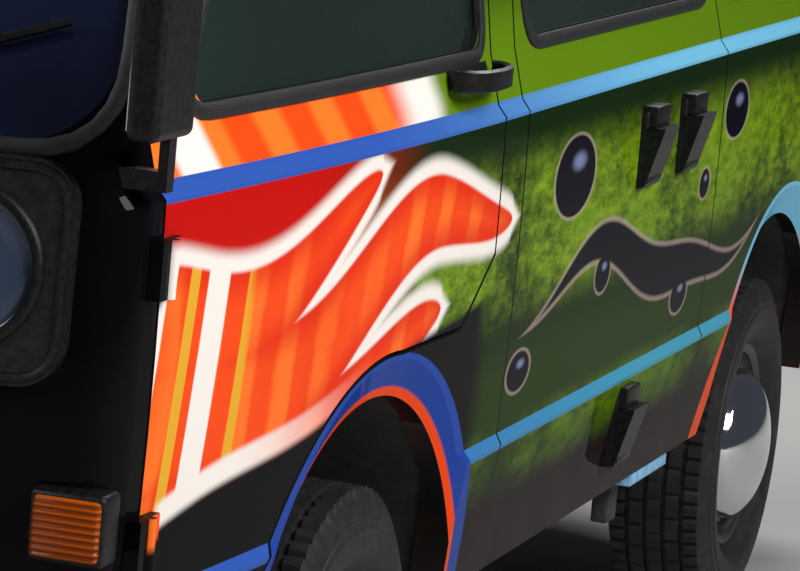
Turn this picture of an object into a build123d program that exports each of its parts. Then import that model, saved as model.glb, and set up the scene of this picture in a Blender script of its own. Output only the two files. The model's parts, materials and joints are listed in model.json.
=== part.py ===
from build123d import *
import math
import os

# A forward-control camper van with its engine at the rear. Millimetres: x runs forward, y to the
# van's left and z up from the ground. The origin lies on the ground under the middle of the van.

# Driving sizes of the whole van
NOSE_X = 2226
FRONT_OVERHANG = 1006
WHEELBASE = 2460
REAR_OVERHANG = 986
FRONT_AXLE_X = NOSE_X - FRONT_OVERHANG
REAR_AXLE_X = FRONT_AXLE_X - WHEELBASE
TAIL_X = REAR_AXLE_X - REAR_OVERHANG
BUMPER_PROUD = 59
BUMPER_REACH = NOSE_X + BUMPER_PROUD
ROOF_Z = 1960
BASE_Z = 400
WALL = 50
SHUT_GAP = 7
SEAT_GAP = 0.3

# Cross-section of the body side
SILL_Y = 888
LOWER_CREASE_Z = 607
LOWER_CREASE_Y = 924
LOWER_CREASE_RISE = 15
SIDE_Y = 916
SIDE_BOW = 4
BELT_Z = 1098
BELT_Y = 921
BELT_RISE = 16
BELT_STEP = 13
WINDOW_LOW_Z = 1187
WINDOW_LOW_Y = 889
EAVE_Z = ROOF_Z - 210
EAVE_Y = 788
EAVE_BOW = 6
GUTTER_Z = EAVE_Z + 40
GUTTER_Y = 772
ROOF_SHOULDER_Y = 620
ROOF_SHOULDER_Z = ROOF_Z - 48
ROOF_CROWN_Y = ROOF_SHOULDER_Y + 102
ROOF_CROWN_Z = ROOF_SHOULDER_Z - 46

# Plan of the body: straight amidships, gently drawn in towards both ends
FRONT_TAPER_X = NOSE_X - 1526
FRONT_TAPER_R = 17300
REAR_TAPER_X = TAIL_X + 726
REAR_TAPER_R = 7600
NOSE_BOW_R = 4000
NOSE_BELLY_Z = 760
NOSE_LOW_STEP = 30
NOSE_FOOT_STEP = 14
TAIL_BOW_R = 6000
TAIL_BELLY_Z = 720
TAIL_LOW_STEP = 14
TAIL_SHOULDER_STEP = 22
TAIL_MIDDLE_STEP = 58
TAIL_EAVE_STEP = 120
TAIL_BROW_STEP = 213
TAIL_BROW_DROP = 75
TAIL_ROOF_STEP = 450
TAIL_ROOF_RUN = 450
NOSE_CORNER_R = 60
OVERSHOOT = 300
INSIDE_Y = 500

# Wheels, arches and steering
TYRE_R = 314
TYRE_WIDTH = 200
TYRE_SHOULDER = 22
TYRE_SHOULDER_DROP = 58
RIM_R = 178
RIM_WIDTH = 150
RIM_FLANGE = 8
RIM_LIP = 10
AXLE_Z = TYRE_R
HALF_TRACK = 794
KINGPIN_Y = HALF_TRACK - 134
KINGPIN_HUB = 40
SPINDLE_R = 30
SPINDLE_CLEARANCE = 0.05
HUB_CAP_R = 150
HUB_CAP_DOME = 60
ARCH_Z = 305
ARCH_R = 446
ARCH_FACET_R = 505
ARCH_FACET_DEPTH = 26
WELL_R = 452
WELL_WALL = 30
WELL_INNER_Y = 470
STEER_LOCK = 36

# Where the side panels meet
DOOR_FRONT_X = NOSE_X - 181
DOOR_REAR_X = FRONT_AXLE_X - 437
DOOR_BASE_Z = 430
DOOR_LOW_Z = 815
DOOR_CORNER_X = FRONT_AXLE_X - 301
DOOR_CORNER_Z = 905
DOOR_SHOULDER_Z = 1187
SCREEN_FOOT_Z = 1160
B_SEAM_X = DOOR_REAR_X - 128
REAR_SEAM_X = B_SEAM_X - 1265
ROOF_SEAM_Z = EAVE_Z
DOOR_TOP_Z = ROOF_SEAM_Z - SHUT_GAP
PILLAR_TOP_X = NOSE_X - 648
STEP_SEAM_X = FRONT_AXLE_X + 502
TAILGATE_Y = 690
TAILGATE_LOW_Z = 960
TAILGATE_SPLIT_X = TAIL_X + 246

# Windows
GLASS_INSET = 10
GLASS_THICK = 6
GLASS_LOW_Z = 1196
GLASS_TOP_Z = EAVE_Z - 54
DOOR_FRAME = 52
DOOR_GLASS_R = 40
WINDOW_CORNER_R = 75
WINDOW_FRAME = 60
REAR_WINDOW_END_X = TAIL_X + 266
SCREEN_LOW_Y = 828
SCREEN_TOP_Y = 700
SCREEN_CORNER_R = 90
SCREEN_MIDDLE_X = NOSE_X - 242
SCREEN_MIDDLE_Z = (SCREEN_FOOT_Z + EAVE_Z) / 2 + 10
SCREEN_TOP_X = NOSE_X - 498
GATE_MIDDLE_Z = (SCREEN_FOOT_Z + EAVE_Z) / 2 - 15
TAILGATE_GLASS_LOW_Z = 1180
TAILGATE_GLASS_LOW_Y = 600
TAILGATE_GLASS_TOP_Z = EAVE_Z - 70
TAILGATE_GLASS_TOP_Y = 560

# Side outlines of the nose, the windscreen, the roof's brow and the tailgate, in x and z
NOSE_LINE = ((NOSE_X - NOSE_LOW_STEP, BASE_Z), (NOSE_X, NOSE_BELLY_Z), (NOSE_X - NOSE_FOOT_STEP, SCREEN_FOOT_Z))
SCREEN_LINE = (NOSE_LINE[2], (SCREEN_MIDDLE_X, SCREEN_MIDDLE_Z), (SCREEN_TOP_X, EAVE_Z))
BROW_STEP = 168
BROW_RUN = 478
BROW_X = SCREEN_TOP_X - BROW_STEP
BROW_Z = ROOF_Z - 74
BROW_END_X = SCREEN_TOP_X - BROW_RUN
BROW_END_Z = ROOF_Z + 10
GATE_LINE = (
    (TAIL_X + TAIL_SHOULDER_STEP, SCREEN_FOOT_Z),
    (TAIL_X + TAIL_MIDDLE_STEP, GATE_MIDDLE_Z),
    (TAIL_X + TAIL_EAVE_STEP, EAVE_Z),
)

# Floor levels, given as the top of the floor
FLOOR_THICK = 40
CAB_FLOOR_Z = 600
LOAD_FLOOR_Z = 520
DECK_Z = 800
CAB_FLOOR_END_X = DOOR_REAR_X - 23
DECK_START_X = REAR_AXLE_X + 580

# Bumpers, lamps and grille
BUMPER_LOW_Z = 455
BUMPER_HIGH_Z = 600
BUMPER_WALL = 26
BUMPER_SIDE_Y = 896
BUMPER_CORNER_R = 95
BUMPER_END_X = NOSE_X - 151
REAR_BUMPER_SIDE_Y = 918
REAR_BUMPER_END_X = TAIL_X + 216
BRACKET_STEP = 35
BRACKET_Y = 430
BRACKET_WIDTH = 60
GRILLE_LOW_Z = 880
GRILLE_HIGH_Z = 1144
GRILLE_Y = 800
GRILLE_CORNER_R = 55
GRILLE_PROUD = 16
GRILLE_SLOTS = 6
GRILLE_SLOT_HIGH = 20
GRILLE_SLOT_Y = 530
LAMP_Y = 668
LAMP_R = 88
LAMP_Z = (GRILLE_LOW_Z + GRILLE_HIGH_Z) / 2
INDICATOR_LOW_Z = 681
INDICATOR_HIGH_Z = 767
INDICATOR_IN_Y = 776
INDICATOR_OUT_Y = 870
TAIL_LAMP_LOW_Z = 745
TAIL_LAMP_HIGH_Z = 940
TAIL_LAMP_IN_Y = 712
TAIL_LAMP_OUT_Y = 832

# Cabin and load space
DASH_BACK_X = NOSE_X - 396
DASH_TOP_Z = 1120
DASH_LOW_Z = 800
DASH_Y = 735
SEAT_Y = 430
SEAT_WIDTH = 480
SEAT_FRONT_X = NOSE_X - 681
SEAT_BASE_Z = 800
SEAT_TOP_Z = 925
SEAT_BACK_TOP_Z = 1480
SEAT_DEPTH = 500
SEAT_BACK_THICK = 120
BENCH_FRONT_X = DECK_START_X + 480
BENCH_DEPTH = 470
BENCH_Y = 600
BENCH_TOP_Z = 900
BENCH_BACK_TOP_Z = 1420
COLUMN_Y = 400
COLUMN_LENGTH = 360
STEERING_WHEEL_R = 215
STEERING_TUBE_R = 14
STEERING_TILT = 32
STEERING_WHEEL_X = NOSE_X - 511
STEERING_WHEEL_Z = 1165
STEERING_HUB = 30

# Outside fittings
MIRROR_X = DOOR_FRONT_X + 25
MIRROR_WIDE = 130
MIRROR_THICK = 40
MIRROR_Y = 865
MIRROR_LOW_Z = 1180
MIRROR_HIGH_Z = 1400
MIRROR_FOOT_Z = 1128
MIRROR_STEM = 24
HANDLE_X = DOOR_REAR_X + 127
HANDLE_Z = 1165
HANDLE_LONG = 190
HOOKUP_WIDE = 104
HOOKUPS = (  # x, z and y of the middle of each
    (REAR_SEAM_X + 530, 985, 921),
    (REAR_SEAM_X + 269, 985, 921),
    (REAR_SEAM_X + 499, 525, 908),
)
TOW_Y = 400
EYE_R = 34
EYE_HOLE_R = 20
EYE_THICK = 18
EYE_FOOT = 100
EYE_REACH = 20

# Hinges: a barrel on each moving panel, cupped by a lug on the body
HINGE_R = 9
HINGE_LEAF = 36
HINGE_LONG = 70
DOOR_HINGE_X = DOOR_FRONT_X + SHUT_GAP / 2
DOOR_HINGE_Y = 881
DOOR_HINGES_Z = (655, 985)
GATE_HINGE_X = TAIL_X + 118
GATE_HINGE_Z = DOOR_TOP_Z + SHUT_GAP / 2
GATE_HINGE_Y = 380

# Running gear
KNUCKLE_HIGH = 190
ARM_THICK = 24
BEAM_Z = 290
FRAME_Y = 360
FRAME_WIDTH = 60
FRAME_LOW_Z = 400
RAIL_REAR_X = TAIL_X + 150
RAIL_FRONT_X = DOOR_FRONT_X + 60
TOW_Z = FRAME_LOW_Z - EYE_R - SEAT_GAP
JACK_PADS_X = (FRONT_AXLE_X - 600, REAR_AXLE_X + 640)
JACK_PAD = 70
JACK_PAD_HIGH = 15
WELL_FOOT_Z = 400
ARM_OPENING_Z = 445
POST_Y = 446
REAR_ARM_Y = HALF_TRACK - 140
ENGINE_FRONT_X = REAR_AXLE_X - 260
ENGINE_BACK_X = TAIL_X + 146
ENGINE_Y = FRAME_Y - SEAT_GAP
ENGINE_LOW_Z = 300
ENGINE_HIGH_Z = 650


def prism_y(face, y_low, y_high):
    """A side view outline, drawn in x and z, between two places across the van."""
    plane = Plane(origin=(0, y_high, 0), x_dir=(1, 0, 0), z_dir=(0, -1, 0))
    return extrude(plane * face, y_high - y_low)


def prism_x(face, x_low, x_high):
    """A front view outline, drawn in y and z, between two places along the van."""
    plane = Plane(origin=(x_low, 0, 0), x_dir=(0, 1, 0), z_dir=(1, 0, 0))
    return extrude(plane * face, x_high - x_low)


def prism_z(face, z_low, z_high):
    """A plan outline, drawn in x and y, between two heights."""
    return extrude(Plane.XY.offset(z_low) * face, z_high - z_low)


def block(x_low, x_high, y_low, y_high, z_low, z_high):
    """A box between its low and high corners."""
    size = (x_high - x_low, y_high - y_low, z_high - z_low)
    middle = ((x_low + x_high) / 2, (y_low + y_high) / 2, (z_low + z_high) / 2)
    return Location(middle) * Box(*size)


def drum_y(x, z, radius, y_low, y_high):
    """A round solid across the van."""
    return prism_y(Location((x, z)) * Circle(radius), y_low, y_high)


def mirrored(solid):
    """The same piece on the van's other side."""
    return mirror(solid, Plane.XZ)


def both_sides(solid):
    """A piece and its mirror image, fused where they meet on the centre line."""
    return solid + mirrored(solid)


def section(inset, base_z):
    """The left half of the body's cross-section, in y and z, drawn in by the inset."""
    crease_top = (SIDE_Y, LOWER_CREASE_Z + LOWER_CREASE_RISE)
    belt_low = (BELT_Y, BELT_Z)
    window_low = (WINDOW_LOW_Y, WINDOW_LOW_Z)
    eave = (EAVE_Y, EAVE_Z)
    shoulder = (ROOF_SHOULDER_Y, ROOF_SHOULDER_Z)
    across = -ROOF_SHOULDER_Y
    lines = Line((across, base_z), (SILL_Y, base_z))
    lines += Line((SILL_Y, base_z), (SILL_Y, BASE_Z)) if base_z < BASE_Z else []
    lines += Line((SILL_Y, BASE_Z), (LOWER_CREASE_Y, LOWER_CREASE_Z))
    lines += Line((LOWER_CREASE_Y, LOWER_CREASE_Z), crease_top)
    side_middle = ((SIDE_Y + BELT_Y) / 2 + SIDE_BOW, (crease_top[1] + BELT_Z) / 2)
    lines += ThreePointArc(crease_top, side_middle, belt_low)
    belt_top = (BELT_Y - BELT_STEP, BELT_Z + BELT_RISE)
    lines += Polyline(belt_low, belt_top, window_low)
    glass_middle = ((WINDOW_LOW_Y + EAVE_Y) / 2 + EAVE_BOW, (WINDOW_LOW_Z + EAVE_Z) / 2)
    lines += ThreePointArc(window_low, glass_middle, eave)
    lines += Line(eave, (GUTTER_Y, GUTTER_Z))
    lines += ThreePointArc((GUTTER_Y, GUTTER_Z), (ROOF_CROWN_Y, ROOF_CROWN_Z), shoulder)
    lines += ThreePointArc(shoulder, (0, ROOF_Z), (across, ROOF_SHOULDER_Z))
    lines += Line((across, ROOF_SHOULDER_Z), (across, base_z))
    face = make_face(lines)
    if inset:
        face = offset(face, amount=-inset, kind=Kind.INTERSECTION)
    return face


def side_form(inset, base_z):
    """The left half of the body, straight amidships and swept along an arc towards each end."""
    face = section(inset, base_z)
    plane = Plane(origin=(0, 0, 0), x_dir=(0, 1, 0), z_dir=(1, 0, 0))
    middle = prism_x(face, REAR_TAPER_X, FRONT_TAPER_X)
    front_face = Location((FRONT_TAPER_X, 0, 0)) * (plane * face)
    front_axis = Axis((FRONT_TAPER_X, SIDE_Y - FRONT_TAPER_R, 0), (0, 0, -1))
    front_turn = math.degrees(math.asin((BUMPER_REACH - FRONT_TAPER_X) / FRONT_TAPER_R)) * 1.1
    rear_face = Location((REAR_TAPER_X, 0, 0)) * (plane * face)
    rear_axis = Axis((REAR_TAPER_X, SIDE_Y - REAR_TAPER_R, 0), (0, 0, 1))
    rear_turn = math.degrees(math.asin((BUMPER_REACH + REAR_TAPER_X) / REAR_TAPER_R)) * 1.1
    whole = middle + revolve(front_face, front_axis, front_turn) + revolve(rear_face, rear_axis, rear_turn)
    return whole & block(-BUMPER_REACH, BUMPER_REACH, 0, LOWER_CREASE_Y + 1, 0, ROOF_Z + 1)


def nose_outside():
    """What lies ahead of the nose, windscreen and roof front, all bowed about an upright axis."""
    ahead, above = NOSE_X + OVERSHOOT, ROOF_Z + 40
    low, belly, foot = NOSE_LINE
    lines = Polyline((ahead, 0), (low[0] - 20, 0), low)
    lines += ThreePointArc(low, belly, foot)
    lines += ThreePointArc(*SCREEN_LINE)
    lines += ThreePointArc(SCREEN_LINE[2], (BROW_X, BROW_Z), (BROW_END_X, BROW_END_Z))
    lines += Polyline((BROW_END_X, BROW_END_Z), (BROW_END_X - BROW_RUN / 2, above), (ahead, above), (ahead, 0))
    return turned(make_face(lines), NOSE_X - NOSE_BOW_R)


def tail_outside():
    """What lies behind the tail, bowed in the same way."""
    behind, above = TAIL_X - OVERSHOOT, ROOF_Z + 40
    low = (TAIL_X + TAIL_LOW_STEP, BASE_Z)
    roof = (TAIL_X + TAIL_ROOF_STEP, ROOF_Z + 4)
    lines = Polyline((behind, 0), (low[0] + 16, 0), low)
    lines += ThreePointArc(low, (TAIL_X, TAIL_BELLY_Z), GATE_LINE[0])
    lines += ThreePointArc(*GATE_LINE)
    lines += ThreePointArc(GATE_LINE[2], (TAIL_X + TAIL_BROW_STEP, ROOF_Z - TAIL_BROW_DROP), roof)
    lines += Polyline(roof, (roof[0] + TAIL_ROOF_RUN, above), (behind, above), (behind, 0))
    return turned(make_face(lines), TAIL_X + TAIL_BOW_R)


def turned(face, axis_x):
    """Turn a side outline thirty degrees each way round the upright axis at axis_x."""
    solid = revolve(Plane.XZ * face, Axis((axis_x, 0, 0), (0, 0, 1)), 60)
    return Location((axis_x, 0, 0)) * (Rot(0, 0, -30) * (Location((-axis_x, 0, 0)) * solid))


def half_form(inset=0, base_z=BASE_Z):
    """The left half of the body as one solid, drawn in all over by the inset."""
    ahead = Location((-inset, 0, 0)) * nose_outside()
    behind = Location((inset, 0, 0)) * tail_outside()
    return side_form(inset, base_z) - ahead - behind


def side_draw(x):
    """How far the taper has drawn the body side in at x."""
    ahead = max(x - FRONT_TAPER_X, 0) ** 2 / 2 / FRONT_TAPER_R
    behind = max(REAR_TAPER_X - x, 0) ** 2 / 2 / REAR_TAPER_R
    return ahead + behind


def arch_cut(axle_x):
    """The wheel arch in the left side: a bevelled rim round the opening."""
    drum = drum_y(axle_x, ARCH_Z, ARCH_R, WELL_INNER_Y + 200, SIDE_Y + 200)
    rim_depth = ARCH_FACET_DEPTH + 60
    widen = (ARCH_FACET_R - ARCH_R) / ARCH_FACET_DEPTH * rim_depth
    rim = Rot(-90, 0, 0) * Cone(ARCH_R, ARCH_R + widen, rim_depth, align=(Align.CENTER, Align.CENTER, Align.MIN))
    slope = math.degrees(math.atan2(side_draw(axle_x + ARCH_R) - side_draw(axle_x - ARCH_R), 2 * ARCH_R))
    rim_y = LOWER_CREASE_Y - side_draw(axle_x) - ARCH_FACET_DEPTH
    return drum + Location((axle_x, rim_y, ARCH_Z)) * (Rot(0, 0, -slope) * rim)


def door_face(grow=0):
    """The front door in side view, cut round the wheel arch, widened by grow."""
    points = (
        (DOOR_FRONT_X, DOOR_BASE_Z), (DOOR_FRONT_X, DOOR_SHOULDER_Z), (PILLAR_TOP_X, DOOR_TOP_Z),
        (DOOR_REAR_X, DOOR_TOP_Z), (DOOR_REAR_X, DOOR_CORNER_Z), (DOOR_CORNER_X, DOOR_LOW_Z),
        (FRONT_AXLE_X, DOOR_LOW_Z), (FRONT_AXLE_X, DOOR_BASE_Z), (DOOR_FRONT_X, DOOR_BASE_Z),
    )
    face = make_face(Polyline(*points))
    if grow:
        face = offset(face, amount=grow, kind=Kind.INTERSECTION)
    return face - Location((FRONT_AXLE_X, ARCH_Z)) * Circle(ARCH_FACET_R + SHUT_GAP - grow)


def rounded(points, radius, shrink=0):
    """A closed outline with the same round at every corner, drawn in by shrink."""
    face = make_face(Polyline(*points, points[0]))
    if shrink:
        face = offset(face, amount=-shrink, kind=Kind.INTERSECTION)
    return fillet(face.vertices(), radius - shrink)


def side_window(x_rear, x_front, shrink=0):
    """A window between two places along the side, in side view."""
    points = ((x_rear, GLASS_LOW_Z), (x_front, GLASS_LOW_Z), (x_front, GLASS_TOP_Z), (x_rear, GLASS_TOP_Z))
    return rounded(points, WINDOW_CORNER_R, shrink)


def door_window(shrink=0):
    """The front door's window, whose front edge runs beside the windscreen pillar."""
    lean = (DOOR_FRONT_X - PILLAR_TOP_X) / (DOOR_TOP_Z - DOOR_SHOULDER_Z)
    front_low = DOOR_FRONT_X - DOOR_FRAME * 1.5 - (GLASS_LOW_Z - DOOR_SHOULDER_Z) * lean
    front_top = front_low - (GLASS_TOP_Z - GLASS_LOW_Z) * lean
    rear = DOOR_REAR_X + DOOR_FRAME
    points = ((rear, GLASS_LOW_Z), (front_low, GLASS_LOW_Z), (front_top, GLASS_TOP_Z), (rear, GLASS_TOP_Z))
    return rounded(points, DOOR_GLASS_R, shrink)


def screen_face(shrink=0):
    """The windscreen in front view, from the cowl up to the roof seam."""
    points = ((-SCREEN_LOW_Y, SCREEN_FOOT_Z), (SCREEN_LOW_Y, SCREEN_FOOT_Z),
              (SCREEN_TOP_Y, ROOF_SEAM_Z), (-SCREEN_TOP_Y, ROOF_SEAM_Z))
    return rounded(points, SCREEN_CORNER_R, shrink)


def tailgate_window(shrink=0):
    """The tailgate's window in front view."""
    points = ((-TAILGATE_GLASS_LOW_Y, TAILGATE_GLASS_LOW_Z), (TAILGATE_GLASS_LOW_Y, TAILGATE_GLASS_LOW_Z),
              (TAILGATE_GLASS_TOP_Y, TAILGATE_GLASS_TOP_Z), (-TAILGATE_GLASS_TOP_Y, TAILGATE_GLASS_TOP_Z))
    return rounded(points, WINDOW_CORNER_R, shrink)


def corner_edges(piece, x_low, x_high, y_low):
    """The upright edges of a piece where the side meets the nose or the tail."""
    edges = []
    for edge in piece.edges():
        box = edge.bounding_box()
        if box.min.X > x_low and box.max.X < x_high and box.min.Y > y_low and box.size.Z > 1:
            edges.append(edge)
    return edges


def write(name, solid):
    """Keep one piece in its own file."""
    export_step(solid, "parts/" + name + ".step")


def seated(solid, body, x, y):
    """A fitting trimmed to the body, then moved a hair off it."""
    return Location((x, y, 0)) * (solid - body)


def bumper(end_x, side_y):
    """A front bumper: a bowed beam with round corners, short side runs and two brackets."""

    def outline(draw):
        front = BUMPER_REACH - draw
        side = side_y - draw
        corner_x = front - side ** 2 / 2 / NOSE_BOW_R
        lines = Polyline((corner_x, side), (end_x, side), (end_x, -side), (corner_x, -side))
        lines += ThreePointArc((corner_x, -side), (front, 0), (corner_x, side))
        face = make_face(lines)
        corners = [v for v in face.vertices() if v.X > corner_x - 1]
        return fillet(corners, BUMPER_CORNER_R - draw)

    beam = prism_z(outline(0) - outline(BUMPER_WALL), BUMPER_LOW_Z, BUMPER_HIGH_Z)
    beam -= block(0, end_x + 1, BUMPER_WALL - side_y, side_y - BUMPER_WALL, 0, ROOF_Z)
    bracket_end = BUMPER_REACH - BUMPER_WALL / 2 - BRACKET_Y ** 2 / 2 / NOSE_BOW_R
    for y in (-BRACKET_Y, BRACKET_Y):
        beam += block(NOSE_X - WALL, bracket_end, y - BRACKET_WIDTH / 2, y + BRACKET_WIDTH / 2,
                      BUMPER_LOW_Z + BRACKET_STEP, BUMPER_HIGH_Z - BRACKET_STEP)
    return beam


def strip(points, depth, thick, axis_x):
    """A skin of even thickness that follows an arc of the nose or tail, set back by the depth."""
    low, middle, high = points
    near = [(x - depth, z) for x, z in points]
    far = [(x - depth - thick, z) for x, z in points]
    lines = ThreePointArc(*near) + Line(near[2], far[2]) + ThreePointArc(*far[::-1]) + Line(far[0], near[0])
    return turned(make_face(lines), axis_x)


def nose_skin(proud):
    """A skin that lies on the nose, seated a hair off it."""
    return strip(NOSE_LINE, -SEAT_GAP, -proud, NOSE_X - NOSE_BOW_R)


def grille():
    """The grille across the nose, with slots between two round lamp holes."""
    outline = Location((0, LAMP_Z)) * RectangleRounded(2 * GRILLE_Y, GRILLE_HIGH_Z - GRILLE_LOW_Z, GRILLE_CORNER_R)
    pitch = (GRILLE_HIGH_Z - GRILLE_LOW_Z - 30) / GRILLE_SLOTS
    for index in range(GRILLE_SLOTS):
        z = GRILLE_LOW_Z + 15 + (index + 0.5) * pitch
        for y in (-GRILLE_SLOT_Y / 2, GRILLE_SLOT_Y / 2):
            outline -= Location((y, z)) * RectangleRounded(GRILLE_SLOT_Y - 20, GRILLE_SLOT_HIGH, GRILLE_SLOT_HIGH / 2.01)
    for y in (-LAMP_Y, LAMP_Y):
        outline -= Location((y, LAMP_Z)) * Circle(LAMP_R + SEAT_GAP)
    return nose_skin(GRILLE_PROUD) & prism_x(outline, NOSE_X - OVERSHOOT, BUMPER_REACH)


def tyre(axle_x):
    """A left-hand tyre, turned about the axle, with its round sides drawn in straight bands."""
    half = TYRE_WIDTH / 2
    bead = RIM_WIDTH / 2 - RIM_FLANGE - SEAT_GAP
    side = ((bead, RIM_R + SEAT_GAP), (half, TYRE_R - TYRE_SHOULDER_DROP), (half - TYRE_SHOULDER, TYRE_R))
    far_side = [(-place, radius) for place, radius in reversed(side)]
    return about_axle(make_face(Polyline(*side, *far_side, side[0])), axle_x)


def wheel(axle_x):
    """A left-hand pressed steel wheel with its hub, and a domed cap over the middle."""
    half = RIM_WIDTH / 2
    lines = Polyline(
        (-half, RIM_R - 6), (-half + 10, RIM_R - 14), (20, RIM_R - 14), (28, 120), (10, 112), (0, 70),
        (-KINGPIN_HUB, 66), (-KINGPIN_HUB, SPINDLE_R + SPINDLE_CLEARANCE), (46, SPINDLE_R + SPINDLE_CLEARANCE),
        (46, 0), (RIM_WIDTH / 2 + HUB_CAP_DOME, 0),
    )
    edge = (half - 16, HUB_CAP_R)
    dome = [(edge[0] + (HUB_CAP_DOME + 16) * math.cos(turn), HUB_CAP_R * math.sin(turn))
            for turn in (math.radians(15 * step) for step in range(7))]
    lip, seat = RIM_R + RIM_LIP, half - RIM_FLANGE
    lines += Polyline(*dome, (half - 24, HUB_CAP_R), (half - 24, RIM_R - 12), (half - 6, RIM_R - 10),
                      (half, lip), (half - 2, lip), (seat, RIM_R), (-seat, RIM_R), (2 - half, lip), (-half, lip),
                      (-half, RIM_R - 6))
    return about_axle(make_face(lines), axle_x)


def about_axle(face, axle_x):
    """Turn a profile, drawn as place along the axle and radius, about a left-hand wheel's axle."""
    plane = Plane(origin=(axle_x, HALF_TRACK, AXLE_Z), x_dir=(0, 1, 0), z_dir=(-1, 0, 0))
    return revolve(plane * face, Axis((axle_x, HALF_TRACK, AXLE_Z), (0, 1, 0)), 360)


def knuckle():
    """The left steering knuckle: an upright on its kingpin with the spindle that carries the wheel."""
    low = AXLE_Z - KNUCKLE_HIGH / 2
    upright = Location((FRONT_AXLE_X, KINGPIN_Y, low)) * Cylinder(
        26, KNUCKLE_HIGH, align=(Align.CENTER, Align.CENTER, Align.MIN))
    spindle = drum_y(FRONT_AXLE_X, AXLE_Z, SPINDLE_R, KINGPIN_Y, HALF_TRACK + 40)
    boss = drum_y(FRONT_AXLE_X, AXLE_Z, 48, KINGPIN_Y - 30, HALF_TRACK - KINGPIN_HUB - 6)
    arm = block(FRONT_AXLE_X - 150, FRONT_AXLE_X, KINGPIN_Y - 60, KINGPIN_Y - 30, low + 30, low + 55)
    return upright + spindle + boss + arm


def housing(axle_x):
    """The left housing over a wheel, closed on its inner side, as a block still to be hollowed."""
    drum = drum_y(axle_x, ARCH_Z, WELL_R + WELL_WALL, WELL_INNER_Y, SIDE_Y)
    return drum & block(-BUMPER_REACH, BUMPER_REACH, 0, SIDE_Y, WELL_FOOT_Z, ROOF_Z)


def wheel_room(axle_x):
    """The hollow that a left housing leaves for its wheel."""
    return drum_y(axle_x, ARCH_Z, WELL_R, WELL_INNER_Y + WELL_WALL, SIDE_Y + 100)


def cab_floor(room):
    """The cab floor with its step down at the back, the front wheel housings and a box under each seat."""
    front, under = DOOR_FRONT_X + 90, CAB_FLOOR_Z - FLOOR_THICK
    pan = block(CAB_FLOOR_END_X, front, -1, SIDE_Y, under, CAB_FLOOR_Z)
    pan += block(CAB_FLOOR_END_X, CAB_FLOOR_END_X + FLOOR_THICK, -1, SIDE_Y, LOAD_FLOOR_Z - FLOOR_THICK, CAB_FLOOR_Z)
    pan += housing(FRONT_AXLE_X)
    pan += block(SEAT_FRONT_X - SEAT_DEPTH, SEAT_FRONT_X, SEAT_Y - SEAT_WIDTH / 2, WELL_INNER_Y + WELL_WALL,
                 under, SEAT_BASE_Z)
    pan -= wheel_room(FRONT_AXLE_X)
    pan -= block(FRONT_AXLE_X - 60, FRONT_AXLE_X + 60, WELL_INNER_Y - 1, WELL_INNER_Y + WELL_WALL + 1,
                 0, ARM_OPENING_Z)
    return both_sides(pan & room)


def load_floor(room):
    """The low floor between the cab's step and the raised deck."""
    floor = block(DECK_START_X + SEAT_GAP, CAB_FLOOR_END_X - SEAT_GAP, -1, SIDE_Y,
                  LOAD_FLOOR_Z - FLOOR_THICK, LOAD_FLOOR_Z)
    return both_sides(floor & room)


def rear_deck(room):
    """The raised deck over the engine, its front wall and the rear wheel housings."""
    under = DECK_Z - FLOOR_THICK
    pan = block(TAIL_X + WALL + 60, DECK_START_X, -1, SIDE_Y, under, DECK_Z)
    pan += block(DECK_START_X - FLOOR_THICK, DECK_START_X, -1, SIDE_Y, LOAD_FLOOR_Z - FLOOR_THICK, DECK_Z)
    pan += housing(REAR_AXLE_X)
    return both_sides((pan - wheel_room(REAR_AXLE_X)) & room)


def frame_rail():
    """The left member of the frame under the floor, with its jacking pads."""
    rail = block(RAIL_REAR_X, RAIL_FRONT_X, FRAME_Y, FRAME_Y + FRAME_WIDTH, FRAME_LOW_Z,
                 LOAD_FLOOR_Z - FLOOR_THICK - SEAT_GAP)
    for x in JACK_PADS_X:
        rail += block(x - JACK_PAD / 2, x + JACK_PAD / 2, FRAME_Y + 5, FRAME_Y + FRAME_WIDTH - 5,
                      FRAME_LOW_Z - JACK_PAD_HIGH, FRAME_LOW_Z)
    return rail


def seat(back_x, front_x, y, width, base_z, cushion_z, back_top_z):
    """A seat in side view: a cushion on its base and a leaning back rest."""
    lean = 0.18
    height = back_top_z - cushion_z
    thick = SEAT_BACK_THICK
    points = ((back_x, base_z), (front_x, base_z), (front_x, cushion_z - 20), (back_x + thick, cushion_z - 30),
              (back_x + thick - lean * height, back_top_z), (back_x - lean * height, back_top_z),
              (back_x, cushion_z - 40))
    face = make_face(Polyline(*points, points[0]))
    rounds = [v for v in face.vertices() if v.Z > cushion_z - 25 or v.Y > cushion_z - 25]
    return prism_y(fillet(rounds, 40), y - width / 2, y + width / 2)


def dashboard(room):
    """The dashboard across the cab, with its instrument hood and the steering column."""
    front = NOSE_X
    points = ((DASH_BACK_X, DASH_LOW_Z + 130), (DASH_BACK_X + 90, DASH_LOW_Z), (front, DASH_LOW_Z),
              (front, DASH_TOP_Z - 20), (DASH_BACK_X + 60, DASH_TOP_Z), (DASH_BACK_X, DASH_TOP_Z - 60))
    body = both_sides(prism_y(make_face(Polyline(*points, points[0])), -1, DASH_Y) & room)
    hood_points = ((DASH_BACK_X - 30, DASH_TOP_Z - 80), (DASH_BACK_X + 150, DASH_TOP_Z - 80),
                   (DASH_BACK_X + 150, DASH_TOP_Z), (DASH_BACK_X, DASH_TOP_Z + 55))
    hood = prism_y(make_face(Polyline(*hood_points, hood_points[0])), COLUMN_Y - 190, COLUMN_Y + 190)
    base = wheel_centre() - column_axis() * COLUMN_LENGTH
    column = column_plane(base) * Cylinder(26, COLUMN_LENGTH - STEERING_HUB,
                                           align=(Align.CENTER, Align.CENTER, Align.MIN))
    return body + hood + column


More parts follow.
